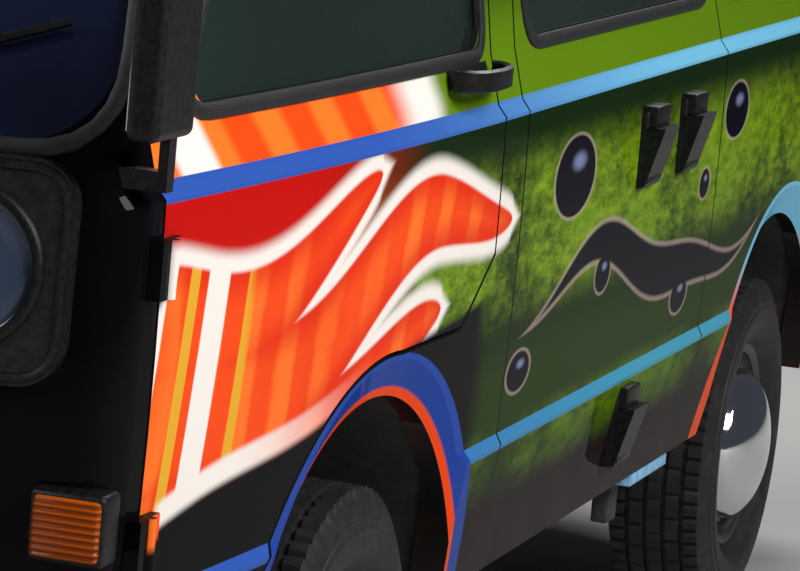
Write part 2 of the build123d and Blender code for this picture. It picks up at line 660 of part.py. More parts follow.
def column_axis():
    """The direction of the steering column, up towards the driver."""
    tilt = math.radians(STEERING_TILT)
    return Vector(-math.sin(tilt), 0, math.cos(tilt))


def column_plane(origin):
    """A plane square to the steering column."""
    return Plane(origin=origin, x_dir=(0, 1, 0), z_dir=column_axis())


def wheel_centre():
    """The middle of the steering wheel."""
    return Vector(STEERING_WHEEL_X, COLUMN_Y, STEERING_WHEEL_Z)


def steering_wheel():
    """A thin-rimmed steering wheel with two spokes and a hub."""
    tube = Plane.XZ * (Location((STEERING_WHEEL_R, 0)) * RegularPolygon(STEERING_TUBE_R, 8))
    ring = revolve(tube, Axis.Z, 360)
    hub = Location((0, 0, -STEERING_HUB + SEAT_GAP)) * Cylinder(
        42, STEERING_HUB + 6, align=(Align.CENTER, Align.CENTER, Align.MIN))
    spokes = Box(2 * STEERING_WHEEL_R - 8, 46, 12)
    return column_plane(wheel_centre()) * (ring + hub + spokes)


def front_axle():
    """The front cross member with lower arms out to the knuckles."""
    beam = block(FRONT_AXLE_X - 70, FRONT_AXLE_X + 70, -POST_Y, POST_Y, BEAM_Z - 40, BEAM_Z + 40)
    low = AXLE_Z - KNUCKLE_HIGH / 2 - SEAT_GAP
    high = AXLE_Z + KNUCKLE_HIGH / 2 + SEAT_GAP
    for side in (1, -1):
        inner_y, outer_y = sorted((side * POST_Y, side * (KINGPIN_Y + 20)))
        for z in (low - ARM_THICK, high):
            beam += block(FRONT_AXLE_X - 28, FRONT_AXLE_X + 28, inner_y, outer_y, z, z + ARM_THICK)
        post = side * POST_Y
        beam += block(FRONT_AXLE_X - 28, FRONT_AXLE_X + 28, post - 20, post + 20, low - ARM_THICK, high + ARM_THICK)
        frame = side * (FRAME_Y + FRAME_WIDTH / 2)
        beam += block(FRONT_AXLE_X - 60, FRONT_AXLE_X + 60, frame - 25, frame + 25, BEAM_Z, FRAME_LOW_Z - SEAT_GAP)
    return beam


def rear_axle():
    """The rear suspension's trailing arms and the half shafts, with a stub in each rear wheel."""
    parts = block(REAR_AXLE_X + 330, REAR_AXLE_X + 400, -FRAME_Y - 120, FRAME_Y + 120, BEAM_Z, BEAM_Z + 60)
    tube = drum_y(REAR_AXLE_X, AXLE_Z, 28, -HALF_TRACK + KINGPIN_HUB + 40, HALF_TRACK - KINGPIN_HUB - 40)
    parts += tube
    for side in (1, -1):
        inner, outer = side * (HALF_TRACK - 160), side * (HALF_TRACK - KINGPIN_HUB - 6)
        parts += drum_y(REAR_AXLE_X, AXLE_Z, 60, min(inner, outer), max(inner, outer))
        spindle_in, spindle_out = side * (HALF_TRACK - 160), side * (HALF_TRACK + 40)
        parts += drum_y(REAR_AXLE_X, AXLE_Z, SPINDLE_R, min(spindle_in, spindle_out), max(spindle_in, spindle_out))
        arm_y = side * REAR_ARM_Y
        reach_x = REAR_AXLE_X + 400
        parts += block(REAR_AXLE_X, reach_x, arm_y - 25, arm_y + 25, AXLE_Z - 20, AXLE_Z + 30)
        span = sorted((side * FRAME_Y, arm_y))
        parts += block(reach_x - 70, reach_x, span[0], span[1], BEAM_Z, BEAM_Z + 60)
        post_y = side * (FRAME_Y + FRAME_WIDTH / 2)
        parts += block(reach_x - 70, reach_x, post_y - 25, post_y + 25, BEAM_Z + 60, FRAME_LOW_Z - SEAT_GAP)
    return parts


def engine():
    """The engine and gearbox as one plain block, hung from the frame over the rear axle line."""
    return block(ENGINE_BACK_X, ENGINE_FRONT_X, -ENGINE_Y, ENGINE_Y, ENGINE_LOW_Z, ENGINE_HIGH_Z)


def outside_mirror():
    """The left mirror, folded forward beside the windscreen pillar, on a stem from the nose panel."""
    head = block(MIRROR_X, MIRROR_X + MIRROR_WIDE, MIRROR_Y, MIRROR_Y + MIRROR_THICK, MIRROR_LOW_Z, MIRROR_HIGH_Z)
    head = fillet(head.edges(), MIRROR_THICK * 0.3)
    stem_x, stem_y = MIRROR_X + MIRROR_WIDE / 4, MIRROR_Y + MIRROR_THICK / 2
    half = MIRROR_STEM / 2
    foot_low, foot_high = MIRROR_FOOT_Z - half, MIRROR_FOOT_Z + half
    stem = block(stem_x - half, stem_x + half, stem_y - half / 2, stem_y + half / 2, foot_low, MIRROR_LOW_Z + 20)
    foot = block(stem_x - half, stem_x + half, stem_y - WALL * 2, stem_y, foot_low, foot_high)
    return head + stem + foot


def handle():
    """The left door handle: a grip that stands off the door on two feet."""
    x_low, x_high = HANDLE_X - HANDLE_LONG / 2, HANDLE_X + HANDLE_LONG / 2
    grip = block(x_low, x_high, BELT_Y + 14, BELT_Y + 30, HANDLE_Z - 16, HANDLE_Z + 16)
    for x in (x_low, x_high - 40):
        grip += block(x, x + 40, BELT_Y - 60, BELT_Y + 20, HANDLE_Z - 16, HANDLE_Z + 16)
    return grip


def hookup_boxes():
    """Three small service boxes on the left side, each a plate over a wedge flap."""
    boxes = []
    for x, z, y in HOOKUPS:
        face = make_face(Polyline((y - 60, z + 66), (y + 26, z + 66), (y + 42, z + 52), (y + 10, z - 66),
                                  (y - 60, z - 66), (y - 60, z + 66)))
        boxes.append(prism_x(face, x - HOOKUP_WIDE / 2, x + HOOKUP_WIDE / 2))
    return boxes


def towing_eye(x_root, x_tip):
    """A towing eye: a flat lug with a round hole, with its foot under the rail's last stretch."""
    toward = math.copysign(1, x_tip - x_root)
    eye_x = x_tip - toward * EYE_R
    low_y, high_y = TOW_Y - EYE_THICK / 2, TOW_Y + EYE_THICK / 2
    foot_x = sorted((x_root - toward * EYE_FOOT, x_root))
    lug_x = sorted((x_root - toward * EYE_FOOT, eye_x))
    lug = block(lug_x[0], lug_x[1], low_y, high_y, TOW_Z - EYE_R, TOW_Z + EYE_R)
    lug += block(foot_x[0], foot_x[1], low_y, high_y, TOW_Z, FRAME_LOW_Z + 1)
    lug += drum_y(eye_x, TOW_Z, EYE_R, low_y, high_y)
    return lug - drum_y(eye_x, TOW_Z, EYE_HOLE_R, low_y - 1, high_y + 1)


def door_hinge(z):
    """One left door hinge: the door's barrel and leaf, and the lug that cups it on the nose panel."""
    x, y = DOOR_HINGE_X, DOOR_HINGE_Y
    flush = y - HINGE_R + 2
    leaf = block(x - HINGE_LEAF, x, flush - 40, y, z, z + HINGE_LONG)
    leaf -= block(x - 4, x + 1, flush - 41, flush, z - 1, z + HINGE_LONG + 1)
    barrel = Location((x, y, z)) * Cylinder(HINGE_R, HINGE_LONG, align=(Align.CENTER, Align.CENTER, Align.MIN))
    cup = Location((x, y, z - 1)) * Cylinder(HINGE_R + SEAT_GAP, HINGE_LONG + 2,
                                             align=(Align.CENTER, Align.CENTER, Align.MIN))
    lug = block(x + 4, x + HINGE_LEAF, flush - 40, y + 3, z, z + HINGE_LONG) - cup
    return leaf + barrel, lug


def gate_hinge():
    """The left tailgate hinge: the tailgate's barrel and leaf, and the lug that cups it under the roof."""
    x, z = GATE_HINGE_X, GATE_HINGE_Z
    low_y, high_y = GATE_HINGE_Y - HINGE_LONG / 2, GATE_HINGE_Y + HINGE_LONG / 2
    flush = x + HINGE_R - 2
    leaf = block(x, flush + 40, low_y, high_y, z - HINGE_LEAF, z)
    leaf -= block(flush, flush + 41, low_y - 1, high_y + 1, z - 4, z + 1)
    barrel = drum_y(x, z, HINGE_R, low_y, high_y)
    cup = drum_y(x, z, HINGE_R + SEAT_GAP, low_y - 1, high_y + 1)
    lug = block(x - 3, flush + 40, low_y, high_y, z + 4, z + 2.5 * HINGE_R) - cup
    return leaf + barrel, lug


os.makedirs("parts", exist_ok=True)

# The body shell's left half, then each panel cut from it or from its mirror image
outer = half_form()
inner = half_form(WALL, BASE_Z - 2 * WALL)
left_shell = outer - inner - arch_cut(FRONT_AXLE_X) - arch_cut(REAR_AXLE_X)
REACH = NOSE_X + OVERSHOOT / 3
OUT_Y = LOWER_CREASE_Y + 60
door_room = block(-REACH, REACH, TAILGATE_Y - 60, OUT_Y, 0, ROOF_Z)
door_opening = prism_y(door_face(SHUT_GAP), TAILGATE_Y - 60, OUT_Y)
left_frame = left_shell - door_opening
below_roof = block(-REACH, REACH, 0, OUT_Y, 0, ROOF_SEAM_Z)

gate_barrel, gate_lug = gate_hinge()
write("roof", both_sides(left_shell - below_roof + gate_lug))
nose = left_frame & block(STEP_SEAM_X, REACH, 0, OUT_Y, 0, SCREEN_FOOT_Z)
nose = nose.fillet(NOSE_CORNER_R, corner_edges(nose, DOOR_FRONT_X + 45, REACH, SCREEN_LOW_Y - 8))
hinges = [door_hinge(z) for z in DOOR_HINGES_Z]
for barrel, lug in hinges:
    nose += lug
write("nose_panel", both_sides(nose))

screen_hole = prism_x(screen_face(), DOOR_REAR_X, REACH)
pillar = left_frame & block(DOOR_REAR_X, REACH, 0, OUT_Y, SCREEN_FOOT_Z, ROOF_SEAM_Z)
pillar = (pillar & block(PILLAR_TOP_X - 30, REACH, 0, OUT_Y, 0, ROOF_Z)) - screen_hole
write("a_pillars", Compound(children=[pillar, mirrored(pillar)]))
centre = left_frame & block(B_SEAM_X, STEP_SEAM_X, 0, OUT_Y, 0, ROOF_SEAM_Z) & door_room
centre = centre - block(DOOR_REAR_X, REACH, 0, OUT_Y, SCREEN_FOOT_Z, ROOF_Z)
write("centre_pillars", Compound(children=[centre, mirrored(centre)]))

mid = left_shell & block(REAR_SEAM_X, B_SEAM_X, 0, OUT_Y, 0, ROOF_SEAM_Z)
window_mid = prism_y(side_window(REAR_SEAM_X + WINDOW_FRAME, B_SEAM_X - WINDOW_FRAME), INSIDE_Y, OUT_Y)
write("mid_side_left", mid - window_mid)
sliding = mid & block(REAR_SEAM_X + SHUT_GAP, B_SEAM_X - SHUT_GAP, 0, OUT_Y, 0, DOOR_TOP_Z)
write("sliding_door", mirrored(sliding - window_mid))

tail_span = block(-REACH, TAILGATE_SPLIT_X, 0, TAILGATE_Y, 0, ROOF_SEAM_Z)
rear = (left_shell & block(-REACH, REAR_SEAM_X, 0, OUT_Y, 0, ROOF_SEAM_Z)) - tail_span
window_rear = prism_y(side_window(REAR_WINDOW_END_X, REAR_SEAM_X - WINDOW_FRAME), INSIDE_Y, OUT_Y)
rear = rear - window_rear
write("rear_side_left", rear)
write("rear_side_right", mirrored(rear))
write("rear_panel", both_sides(left_shell & tail_span & block(-REACH, 0, 0, OUT_Y, 0, TAILGATE_LOW_Z - SHUT_GAP)))
gate_box = block(-REACH, TAILGATE_SPLIT_X, 0, TAILGATE_Y - SHUT_GAP, TAILGATE_LOW_Z, DOOR_TOP_Z)
gate_hole = prism_x(tailgate_window(), -REACH, TAILGATE_SPLIT_X)
write("tailgate", both_sides((left_shell & gate_box) - gate_hole + gate_barrel))

door = (left_shell & prism_y(door_face(), TAILGATE_Y - 60, OUT_Y)) - prism_y(door_window(), TAILGATE_Y - 60, OUT_Y)
for barrel, lug in hinges:
    door += barrel
write("door_left", door)
write("door_right", mirrored(door))

# Glass, as patches of a thin skin just inside the body's outer face
low_z = BASE_Z - 2 * WALL
screen_skin = strip(SCREEN_LINE, GLASS_INSET, GLASS_THICK, NOSE_X - NOSE_BOW_R)
write("windscreen", screen_skin & prism_x(screen_face(SEAT_GAP), DOOR_REAR_X, REACH))
gate_skin = strip(GATE_LINE, -GLASS_INSET, -GLASS_THICK, TAIL_X + TAIL_BOW_R)
write("tailgate_glass", gate_skin & prism_x(tailgate_window(SEAT_GAP), -REACH, TAILGATE_SPLIT_X))
skin = side_form(GLASS_INSET, low_z) - side_form(GLASS_INSET + GLASS_THICK, low_z)
door_glass = skin & prism_y(door_window(SEAT_GAP), TAILGATE_Y - 60, OUT_Y)
write("door_glass_left", door_glass)
write("door_glass_right", mirrored(door_glass))
mid_glass = skin & prism_y(side_window(REAR_SEAM_X + WINDOW_FRAME, B_SEAM_X - WINDOW_FRAME, SEAT_GAP), INSIDE_Y, OUT_Y)
rear_glass = skin & prism_y(side_window(REAR_WINDOW_END_X, REAR_SEAM_X - WINDOW_FRAME, SEAT_GAP), INSIDE_Y, OUT_Y)
panes = [mid_glass, rear_glass, mirrored(mid_glass), mirrored(rear_glass)]
write("side_glass", Compound(children=panes))

# Nose and tail fittings
write("grille", grille())
lamps = []
for y in (-LAMP_Y, LAMP_Y):
    lamp_round = prism_x(Location((y, LAMP_Z)) * Circle(LAMP_R), NOSE_X - OVERSHOOT, REACH)
    lamps.append(nose_skin(GRILLE_PROUD - 6) & lamp_round)
indicator = block(NOSE_X - 101, NOSE_X - 45, INDICATOR_IN_Y, INDICATOR_OUT_Y, INDICATOR_LOW_Z, INDICATOR_HIGH_Z)
indicator = seated(indicator, nose, SEAT_GAP, 0)
write("front_lamps", Compound(children=[*lamps, indicator, mirrored(indicator)]))
tail_lamp = block(TAIL_X - 12, TAIL_X + 200, TAIL_LAMP_IN_Y, TAIL_LAMP_OUT_Y, TAIL_LAMP_LOW_Z, TAIL_LAMP_HIGH_Z)
tail_lamp = seated(tail_lamp, outer, -SEAT_GAP, 0)
write("tail_lamps", Compound(children=[tail_lamp, mirrored(tail_lamp)]))
whole_body = both_sides(outer)
front_bumper = seated(bumper(BUMPER_END_X, BUMPER_SIDE_Y), whole_body, SEAT_GAP, 0)
rear_bumper = mirror(bumper(-REAR_BUMPER_END_X, REAR_BUMPER_SIDE_Y), Plane.YZ)
rear_bumper = seated(rear_bumper, whole_body, -SEAT_GAP, 0)
write("bumpers", Compound(children=[front_bumper, rear_bumper]))
boxes = [seated(box, outer, 0, SEAT_GAP) for box in hookup_boxes()]
write("hookup_boxes", Compound(children=boxes))

# Floor, seats and controls
room = half_form(WALL + SEAT_GAP, BASE_Z - 3 * WALL)
write("cab_floor", cab_floor(room))
write("load_floor", load_floor(room))
write("rear_deck", rear_deck(room))
rail = frame_rail()
left_rail = rail + towing_eye(RAIL_FRONT_X, NOSE_X + EYE_REACH) + towing_eye(RAIL_REAR_X, TAIL_X - EYE_REACH)
write("frame_rails", Compound(children=[left_rail, mirrored(rail)]))
write("dashboard", dashboard(room))
write("steering_wheel", steering_wheel())
seats = []
for y in (SEAT_Y, -SEAT_Y):
    seats.append(seat(SEAT_FRONT_X - SEAT_DEPTH, SEAT_FRONT_X, y, SEAT_WIDTH, SEAT_BASE_Z + SEAT_GAP, SEAT_TOP_Z,
                      SEAT_BACK_TOP_Z))
seats.append(seat(BENCH_FRONT_X - BENCH_DEPTH, BENCH_FRONT_X, 0, 2 * BENCH_Y, LOAD_FLOOR_Z + SEAT_GAP,
                  BENCH_TOP_Z, BENCH_BACK_TOP_Z))
write("seats", Compound(children=seats))

# Mirrors and door handles
left_mirror = seated(outside_mirror(), nose, 0, SEAT_GAP)
write("mirrors", Compound(children=[left_mirror, mirrored(left_mirror)]))
left_handle = seated(handle(), door, 0, SEAT_GAP)
write("door_handle_left", left_handle)
write("door_handle_right", mirrored(left_handle))

# Running gear
write("front_axle", front_axle())
write("rear_axle", rear_axle())
write("engine", engine())
write("knuckle_left", knuckle())
write("knuckle_right", mirrored(knuckle()))
for place, axle_x in (("front", FRONT_AXLE_X), ("rear", REAR_AXLE_X)):
    write("tyre_" + place + "_left", tyre(axle_x))
    write("tyre_" + place + "_right", mirrored(tyre(axle_x)))
    write("wheel_" + place + "_left", wheel(axle_x))
    write("wheel_" + place + "_right", mirrored(wheel(axle_x)))
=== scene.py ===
import json
import math

import bmesh
import bpy
from mathutils import Matrix, Vector
from mathutils.bvhtree import BVHTree


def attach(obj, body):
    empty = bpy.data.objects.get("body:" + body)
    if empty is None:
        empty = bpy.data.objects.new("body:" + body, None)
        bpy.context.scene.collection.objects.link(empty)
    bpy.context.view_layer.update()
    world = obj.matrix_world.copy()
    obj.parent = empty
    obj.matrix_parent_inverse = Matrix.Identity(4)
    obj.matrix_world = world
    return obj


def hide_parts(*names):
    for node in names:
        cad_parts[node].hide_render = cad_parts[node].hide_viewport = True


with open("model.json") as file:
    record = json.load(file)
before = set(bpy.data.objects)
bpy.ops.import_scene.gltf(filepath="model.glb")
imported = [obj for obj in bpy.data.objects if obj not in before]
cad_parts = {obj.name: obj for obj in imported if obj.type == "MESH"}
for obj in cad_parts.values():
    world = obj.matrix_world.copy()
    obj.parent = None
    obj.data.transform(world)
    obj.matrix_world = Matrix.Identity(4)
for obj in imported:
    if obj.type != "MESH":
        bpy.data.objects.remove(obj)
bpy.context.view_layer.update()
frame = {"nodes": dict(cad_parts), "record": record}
NODES = frame["nodes"]

# Metres, x forward, y to the van's left, z up. Driving sizes, as the CAD model has them
FRONT_AXLE_X = 1.22
REAR_AXLE_X = -1.24
HALF_TRACK = 0.794
AXLE_Z = 0.314
TYRE_R = 0.314
ARCH_Z = 0.305
ARCH_R = 0.446
ARCH_FACET_R = 0.507
DOOR_FRONT_X = 2.045
B_SEAM_X = 0.655
REAR_SEAM_X = -0.610
CREASE_LOW_Z = 0.607
CREASE_HIGH_Z = 0.622
BELT_LOW_Z = 1.094
BELT_HIGH_Z = 1.118
SIDE_LINE = ((0.400, 0.888), (0.607, 0.924), (0.622, 0.916), (0.860, 0.9225), (1.098, 0.921), (1.114, 0.908),
             (1.187, 0.889), (1.468, 0.8445), (1.750, 0.788), (1.790, 0.772))
FRONT_TAPER_X, FRONT_TAPER = 0.7, 34.6
REAR_TAPER_X, REAR_TAPER = -1.5, 15.2
SIDES = (("left", 1), ("right", -1))


def srgb(red, green, blue):
    """A colour given as it looks on screen, 0 to 255, in the linear numbers that Blender uses."""
    linear = []
    for value in (red / 255, green / 255, blue / 255):
        linear.append(value / 12.92 if value < 0.04045 else ((value + 0.055) / 1.055) ** 2.4)
    return (*linear, 1.0)


def feed(tree, socket, value):
    """Give a node's socket a constant, or a field's result."""
    if isinstance(value, Field):
        tree.links.new(value.socket, socket)
    else:
        socket.default_value = value


class Field:
    """A number that changes over a surface, worked out by material nodes."""

    def __init__(self, tree, socket):
        self.tree, self.socket = tree, socket

    def math(self, operation, *others):
        node = self.tree.nodes.new("ShaderNodeMath")
        node.operation = operation
        for index, value in enumerate((self, *others)):
            feed(self.tree, node.inputs[index], value)
        return Field(self.tree, node.outputs[0])

    def __add__(self, other):
        return self.math("ADD", other)

    def __sub__(self, other):
        return self.math("SUBTRACT", other)

    def __mul__(self, other):
        return self.math("MULTIPLY", other)

    def __rsub__(self, other):
        return self.math("MULTIPLY", -1).math("ADD", other)

    def size(self):
        return self.math("ABSOLUTE")

    def wave(self):
        return self.math("SINE")

    def root(self):
        return self.math("MAXIMUM", 0).math("SQRT")

    def least(self, other):
        return self.math("MINIMUM", other)

    def most(self, other):
        return self.math("MAXIMUM", other)

    def rise(self, low, high):
        """Nought at low, one at high, smooth between."""
        node = self.tree.nodes.new("ShaderNodeMapRange")
        node.interpolation_type = "SMOOTHSTEP"
        self.tree.links.new(self.socket, node.inputs["Value"])
        limits = {"From Min": min(low, high), "From Max": max(low, high), "To Min": 0, "To Max": 1}
        if low > high:
            limits.update({"To Min": 1, "To Max": 0})
        for name, value in limits.items():
            node.inputs[name].default_value = value
        return Field(self.tree, node.outputs["Result"])

    def within(self, low, high, soft):
        """One between low and high, falling to nought over the soft width outside."""
        return self.rise(low - soft, low) * self.rise(high + soft, high)


class Finish:
    """A material and the nodes that its surface is worked out with."""

    def __init__(self, name, color, rough, metal=0.0, **sockets):
        self.material = bpy.data.materials.new(name)
        self.material.use_nodes = True
        self.tree = self.material.node_tree
        self.shader = self.tree.nodes["Principled BSDF"]
        self.coordinates = self.tree.nodes.new("ShaderNodeTexCoord")
        self.set("Base Color", color)
        self.set("Roughness", rough)
        self.set("Metallic", metal)
        for socket, value in sockets.items():
            self.set(socket.replace("_", " ").title().replace("Ior", "IOR"), value)
        self.material.diffuse_color = color if isinstance(color, tuple) else (0.5, 0.5, 0.5, 1)

    def set(self, socket, value):
        feed(self.tree, self.shader.inputs[socket], value)

    def place(self, output="Object"):
        """The x, y and z parts of a point in the frame's metres, or of the surface's direction, "Normal"."""
        split = self.tree.nodes.new("ShaderNodeSeparateXYZ")
        self.tree.links.new(self.coordinates.outputs[output], split.inputs[0])
        return [Field(self.tree, part) for part in split.outputs]

    def noise(self, scale, detail=3.0, rough=0.5, stretch=(1, 1, 1)):
        """Cloudy noise from 0 to 1, in the frame's metres."""
        scaled = self.tree.nodes.new("ShaderNodeMapping")
        scaled.inputs["Scale"].default_value = stretch
        self.tree.links.new(self.coordinates.outputs["Object"], scaled.inputs["Vector"])
        node = self.tree.nodes.new("ShaderNodeTexNoise")
        node.inputs["Scale"].default_value = scale
        node.inputs["Detail"].default_value = detail
        node.inputs["Roughness"].default_value = rough
        self.tree.links.new(scaled.outputs[0], node.inputs["Vector"])
        return Field(self.tree, node.outputs["Fac"])

    def blend(self, factor, first, second):
        """The first colour where the factor is nought, the second where it is one."""
        node = self.tree.nodes.new("ShaderNodeMix")
        node.data_type = "RGBA"
        feed(self.tree, node.inputs["Factor"], factor)
        slots = [socket for socket in node.inputs if socket.type == "RGBA"]
        for slot, value in zip(slots, (first, second)):
            feed(self.tree, slot, value)
        out = [socket for socket in node.outputs if socket.type == "RGBA"][0]
        return Field(self.tree, out)

    def bump(self, height, depth):
        """Raise the surface by a field, to a depth in metres."""
        node = self.tree.nodes.new("ShaderNodeBump")
        node.inputs["Distance"].default_value = depth
        self.tree.links.new(height.socket, node.inputs["Height"])
        self.tree.links.new(node.outputs[0], self.shader.inputs["Normal"])


GLOSS_BLACK = srgb(10, 9, 12)
INNER_DARK = srgb(30, 30, 32)
# Red, yellow, orange and white of a painted reflection of a neighbouring vehicle on the sides
DEEP_RED = srgb(190, 14, 8)
YELLOW = srgb(222, 164, 44)
ORANGE = srgb(238, 74, 20)
BRIGHT_ORANGE = srgb(252, 118, 40)
HOT_RED = srgb(214, 30, 14)
SOFT_WHITE = srgb(238, 230, 222)
# Greens of the sides, in part a painted reflection of a lawn and trees
DARK_GREEN = srgb(20, 38, 14)
GRASS = srgb(92, 126, 14)
LEAF = srgb(128, 156, 30)
OLIVE = srgb(34, 54, 10)
# Blues of a painted sky reflection on the sides' upward-facing facets
DEEP_SKY_REFLECTION = srgb(48, 84, 168)
PALE_SKY_REFLECTION = srgb(112, 184, 216)
TEAL_SKY_REFLECTION = srgb(70, 150, 176)
PLUM_BLACK = srgb(20, 12, 22)
DUST = srgb(92, 80, 66)
STRIPE_SOFT = 0.0015
SEAM_HALF = 0.0025


def add_coat(finish, rough=0.03):
    """Clear lacquer over a paint."""
    finish.set("Coat Weight", 0.22)
    finish.set("Coat Roughness", rough)
    finish.set("Coat IOR", 1.36)
    finish.set("Specular IOR Level", 0.0)


def lacquered(finish, base, clean_z, dusty_z, rough):
    """Lacquered paint of a base colour, with a faint orange-peel and a little dust low down."""
    dust = finish.place()[2].rise(clean_z, dusty_z) * finish.noise(9, 5) * 0.35
    finish.set("Base Color", finish.blend(dust, base, DUST))
    finish.set("Roughness", dust * 0.6 + rough)
    finish.bump(finish.noise(420, 1), 0.00005)
    add_coat(finish)
    return finish.material


DROPS = (  # x, z, half length and half height of the dark drops on the sides
    (0.36, 0.975, 0.115, 0.062), (0.13, 0.80, 0.045, 0.030), (-0.42, 0.70, 0.055, 0.030),
    (-0.72, 0.99, 0.085, 0.048), (0.58, 0.705, 0.060, 0.030), (-1.52, 0.99, 0.105, 0.052),
    (-1.86, 0.90, 0.050, 0.032), (-0.52, 0.88, 0.035, 0.025),
)
TONGUES = (  # height, half width, length and sway of the tongues of painted reflection
    (0.52, 0.125, 0.62, 0.012), (0.665, 0.11, 1.02, 0.020), (0.80, 0.10, 1.34, 0.024),
    (0.925, 0.085, 0.72, 0.016),
)


def tongues(finish, rearward, up):
    """How far a point lies outside the nearest of a few tapering tongues of painted reflection, in metres."""
    lifted = up - rearward.rise(0.15, 1.0) * 0.17
    nearest = None
    for height, half, length, sway in TONGUES:
        middle = (rearward * 7.5 + height * 9).wave() * sway + height
        half_wide = (1 - rearward * (1 / length)).root() * half
        outside = (lifted - middle).size() - half_wide + (rearward - length).most(0) * 0.6
        nearest = outside if nearest is None else nearest.least(outside)
    return nearest


def sides_decor_and_reflection():
    """The decorated sides, mostly painted reflection: tongues of orange on red at the front are a painted
    reflection of a neighbouring vehicle, the green behind is in part a painted reflection of a lawn and
    trees, and the dark drops are the decoration itself.
    """
    finish = Finish("sides_decor_and_reflection", GLOSS_BLACK, 0.25)
    blend = finish.blend
    x, y, z = finish.place()
    rearward = DOOR_FRONT_X - x
    cloud = finish.noise(2.2, 4, 0.6)

    # Greens, in part a painted reflection of a lawn and trees: dark under the belt, bright across the middle,
    # olive below
    blades = finish.noise(26, 5, 0.7, (0.6, 1, 1.6))
    patch = cloud * 0.7 + blades * 0.3
    bright = z.within(0.86, 0.97, 0.10) * patch.rise(0.34, 0.56)
    green = blend(z.rise(0.70, 0.80), OLIVE, DARK_GREEN)
    green = blend(bright, green, blend(blades.rise(0.35, 0.7), GRASS, LEAF))
    green = blend(z.within(0.52, 0.60, 0.05) * patch.rise(0.40, 0.60) * 0.8, green, GRASS)
    above = blend(z.rise(1.19, 1.34), GRASS, DARK_GREEN)
    green = blend(z.rise(1.10, 1.12), green, above)
    green = blend(z.rise(0.585, 0.50), green, PLUM_BLACK)

    # Drops and a dark ribbon on the green
    distance, shine = None, None
    for drop_x, drop_z, long, tall in DROPS:
        along, height = (x - drop_x) * (1 / long), (z - drop_z) * (1 / tall)
        outside = ((along * along + height * height).root() - 1) * tall
        glint_x, glint_z = along + 0.15, height - 0.35
        glint = (glint_x * glint_x * 4 + glint_z * glint_z * 9).root()
        distance = outside if distance is None else distance.least(outside)
        shine = glint if shine is None else shine.least(glint)
    drop = distance.rise(0.002, -0.002)
    rim = distance.within(0.0, 0.003, 0.004)
    ribbon_middle = (x * 4.1 + 0.9).wave() * 0.055 + (x * 9.3).wave() * 0.018 + 0.78
    ribbon_half = (x * 2.6 + 2.1).wave() * 0.034 + 0.008
    ribbon = (z - ribbon_middle).size() - ribbon_half
    spots = z.within(0.66, 1.03, 0.04)
    dark = drop.most(ribbon.rise(0.004, -0.004)) * spots
    edge = rim.most(ribbon.within(0.0, 0.005, 0.006)) * spots
    green = blend(edge * 0.55, green, srgb(176, 152, 150))
    drop_color = blend(shine.rise(1.0, 0.2) * 0.55, srgb(12, 12, 22), srgb(150, 162, 206))
    green = blend(dark, green, drop_color)

    # The front: deep red, a painted reflection of a neighbouring vehicle, that darkens rearwards into the
    # green
    base = blend(rearward.rise(0.42, 0.95), DEEP_RED, green)

    # Tongues of a painted reflection of a neighbouring vehicle's livery, with a soft white edge and slanted
    # lighter bands, and white and yellow bars near the door's front
    outside = tongues(finish, rearward, z)
    slant = ((rearward * 1.5 - z * 0.32 + cloud * 0.22) * 30).wave() * 0.5 + 0.5
    band = slant.rise(0.35, 0.85) * finish.noise(3.1, 2).rise(0.38, 0.60) * 0.85
    fill = blend(band, ORANGE, BRIGHT_ORANGE)
    fill = blend(outside.rise(-0.05, 0.0) * 0.75, fill, HOT_RED)
    fill = blend(cloud.rise(0.52, 0.72) * 0.4, fill, HOT_RED)
    front_bars = ((rearward * 1.7 - z * 0.30) * 20 + 1.6).wave().rise(0.35, 0.5) * rearward.rise(0.24, 0.20)
    yellow_bars = ((rearward * 1.7 - z * 0.30) * 40 + 0.4).wave().rise(0.45, 0.65) * rearward.rise(0.30, 0.26)
    fill = blend(yellow_bars, fill, YELLOW)
    fill = blend(front_bars, fill, SOFT_WHITE)
    base = blend(outside.rise(0.034, 0.012), base, SOFT_WHITE)
    base = blend(outside.rise(0.004, -0.004), base, fill)

    # Gloss black below a slanting line, where the painted reflection ends, with a pale edge of painted
    # reflection near the front
    under = z - rearward * 0.13 - (rearward * 9).wave() * 0.008
    pale = under.within(0.690, 0.716, 0.012) * rearward.rise(0.75, 0.25) * rearward.rise(0.03, 0.06)
    base = blend(pale, base, SOFT_WHITE)
    base = blend(under.rise(0.697, 0.682) * rearward.rise(1.30, 1.20), base, GLOSS_BLACK)

    # Above the belt: slanted bands of painted reflection that fade through white into the green
    fade = rearward + (z * 60).wave() * 0.012
    upper = blend(((rearward * 1.4 + z * 1.2) * 24).wave().rise(-0.5, 0.7), ORANGE, BRIGHT_ORANGE)
    upper_bars = ((rearward * 1.4 + z * 1.1) * 10).wave().rise(0.55, 0.85) * rearward.rise(0.32, 0.28)
    upper = blend(upper_bars, upper, SOFT_WHITE)
    upper = blend(fade.rise(0.78, 0.90), upper, SOFT_WHITE)
    upper = blend(fade.rise(0.95, 1.03), upper, green)
    base = blend(z.rise(1.105, 1.110), base, upper)

    # Painted sky reflection on the upward-facing belt and lower crease facets: blue stripes that pale
    # rearwards
    belt = blend(rearward.rise(0.6, 2.6), DEEP_SKY_REFLECTION, PALE_SKY_REFLECTION)
    base = blend(z.within(BELT_LOW_Z, BELT_HIGH_Z, STRIPE_SOFT), base, belt)
    crease = blend(rearward.rise(0.2, 2.6), DEEP_SKY_REFLECTION, TEAL_SKY_REFLECTION)
    base = blend(z.within(CREASE_LOW_Z - 0.006, CREASE_HIGH_Z, STRIPE_SOFT), base, crease)

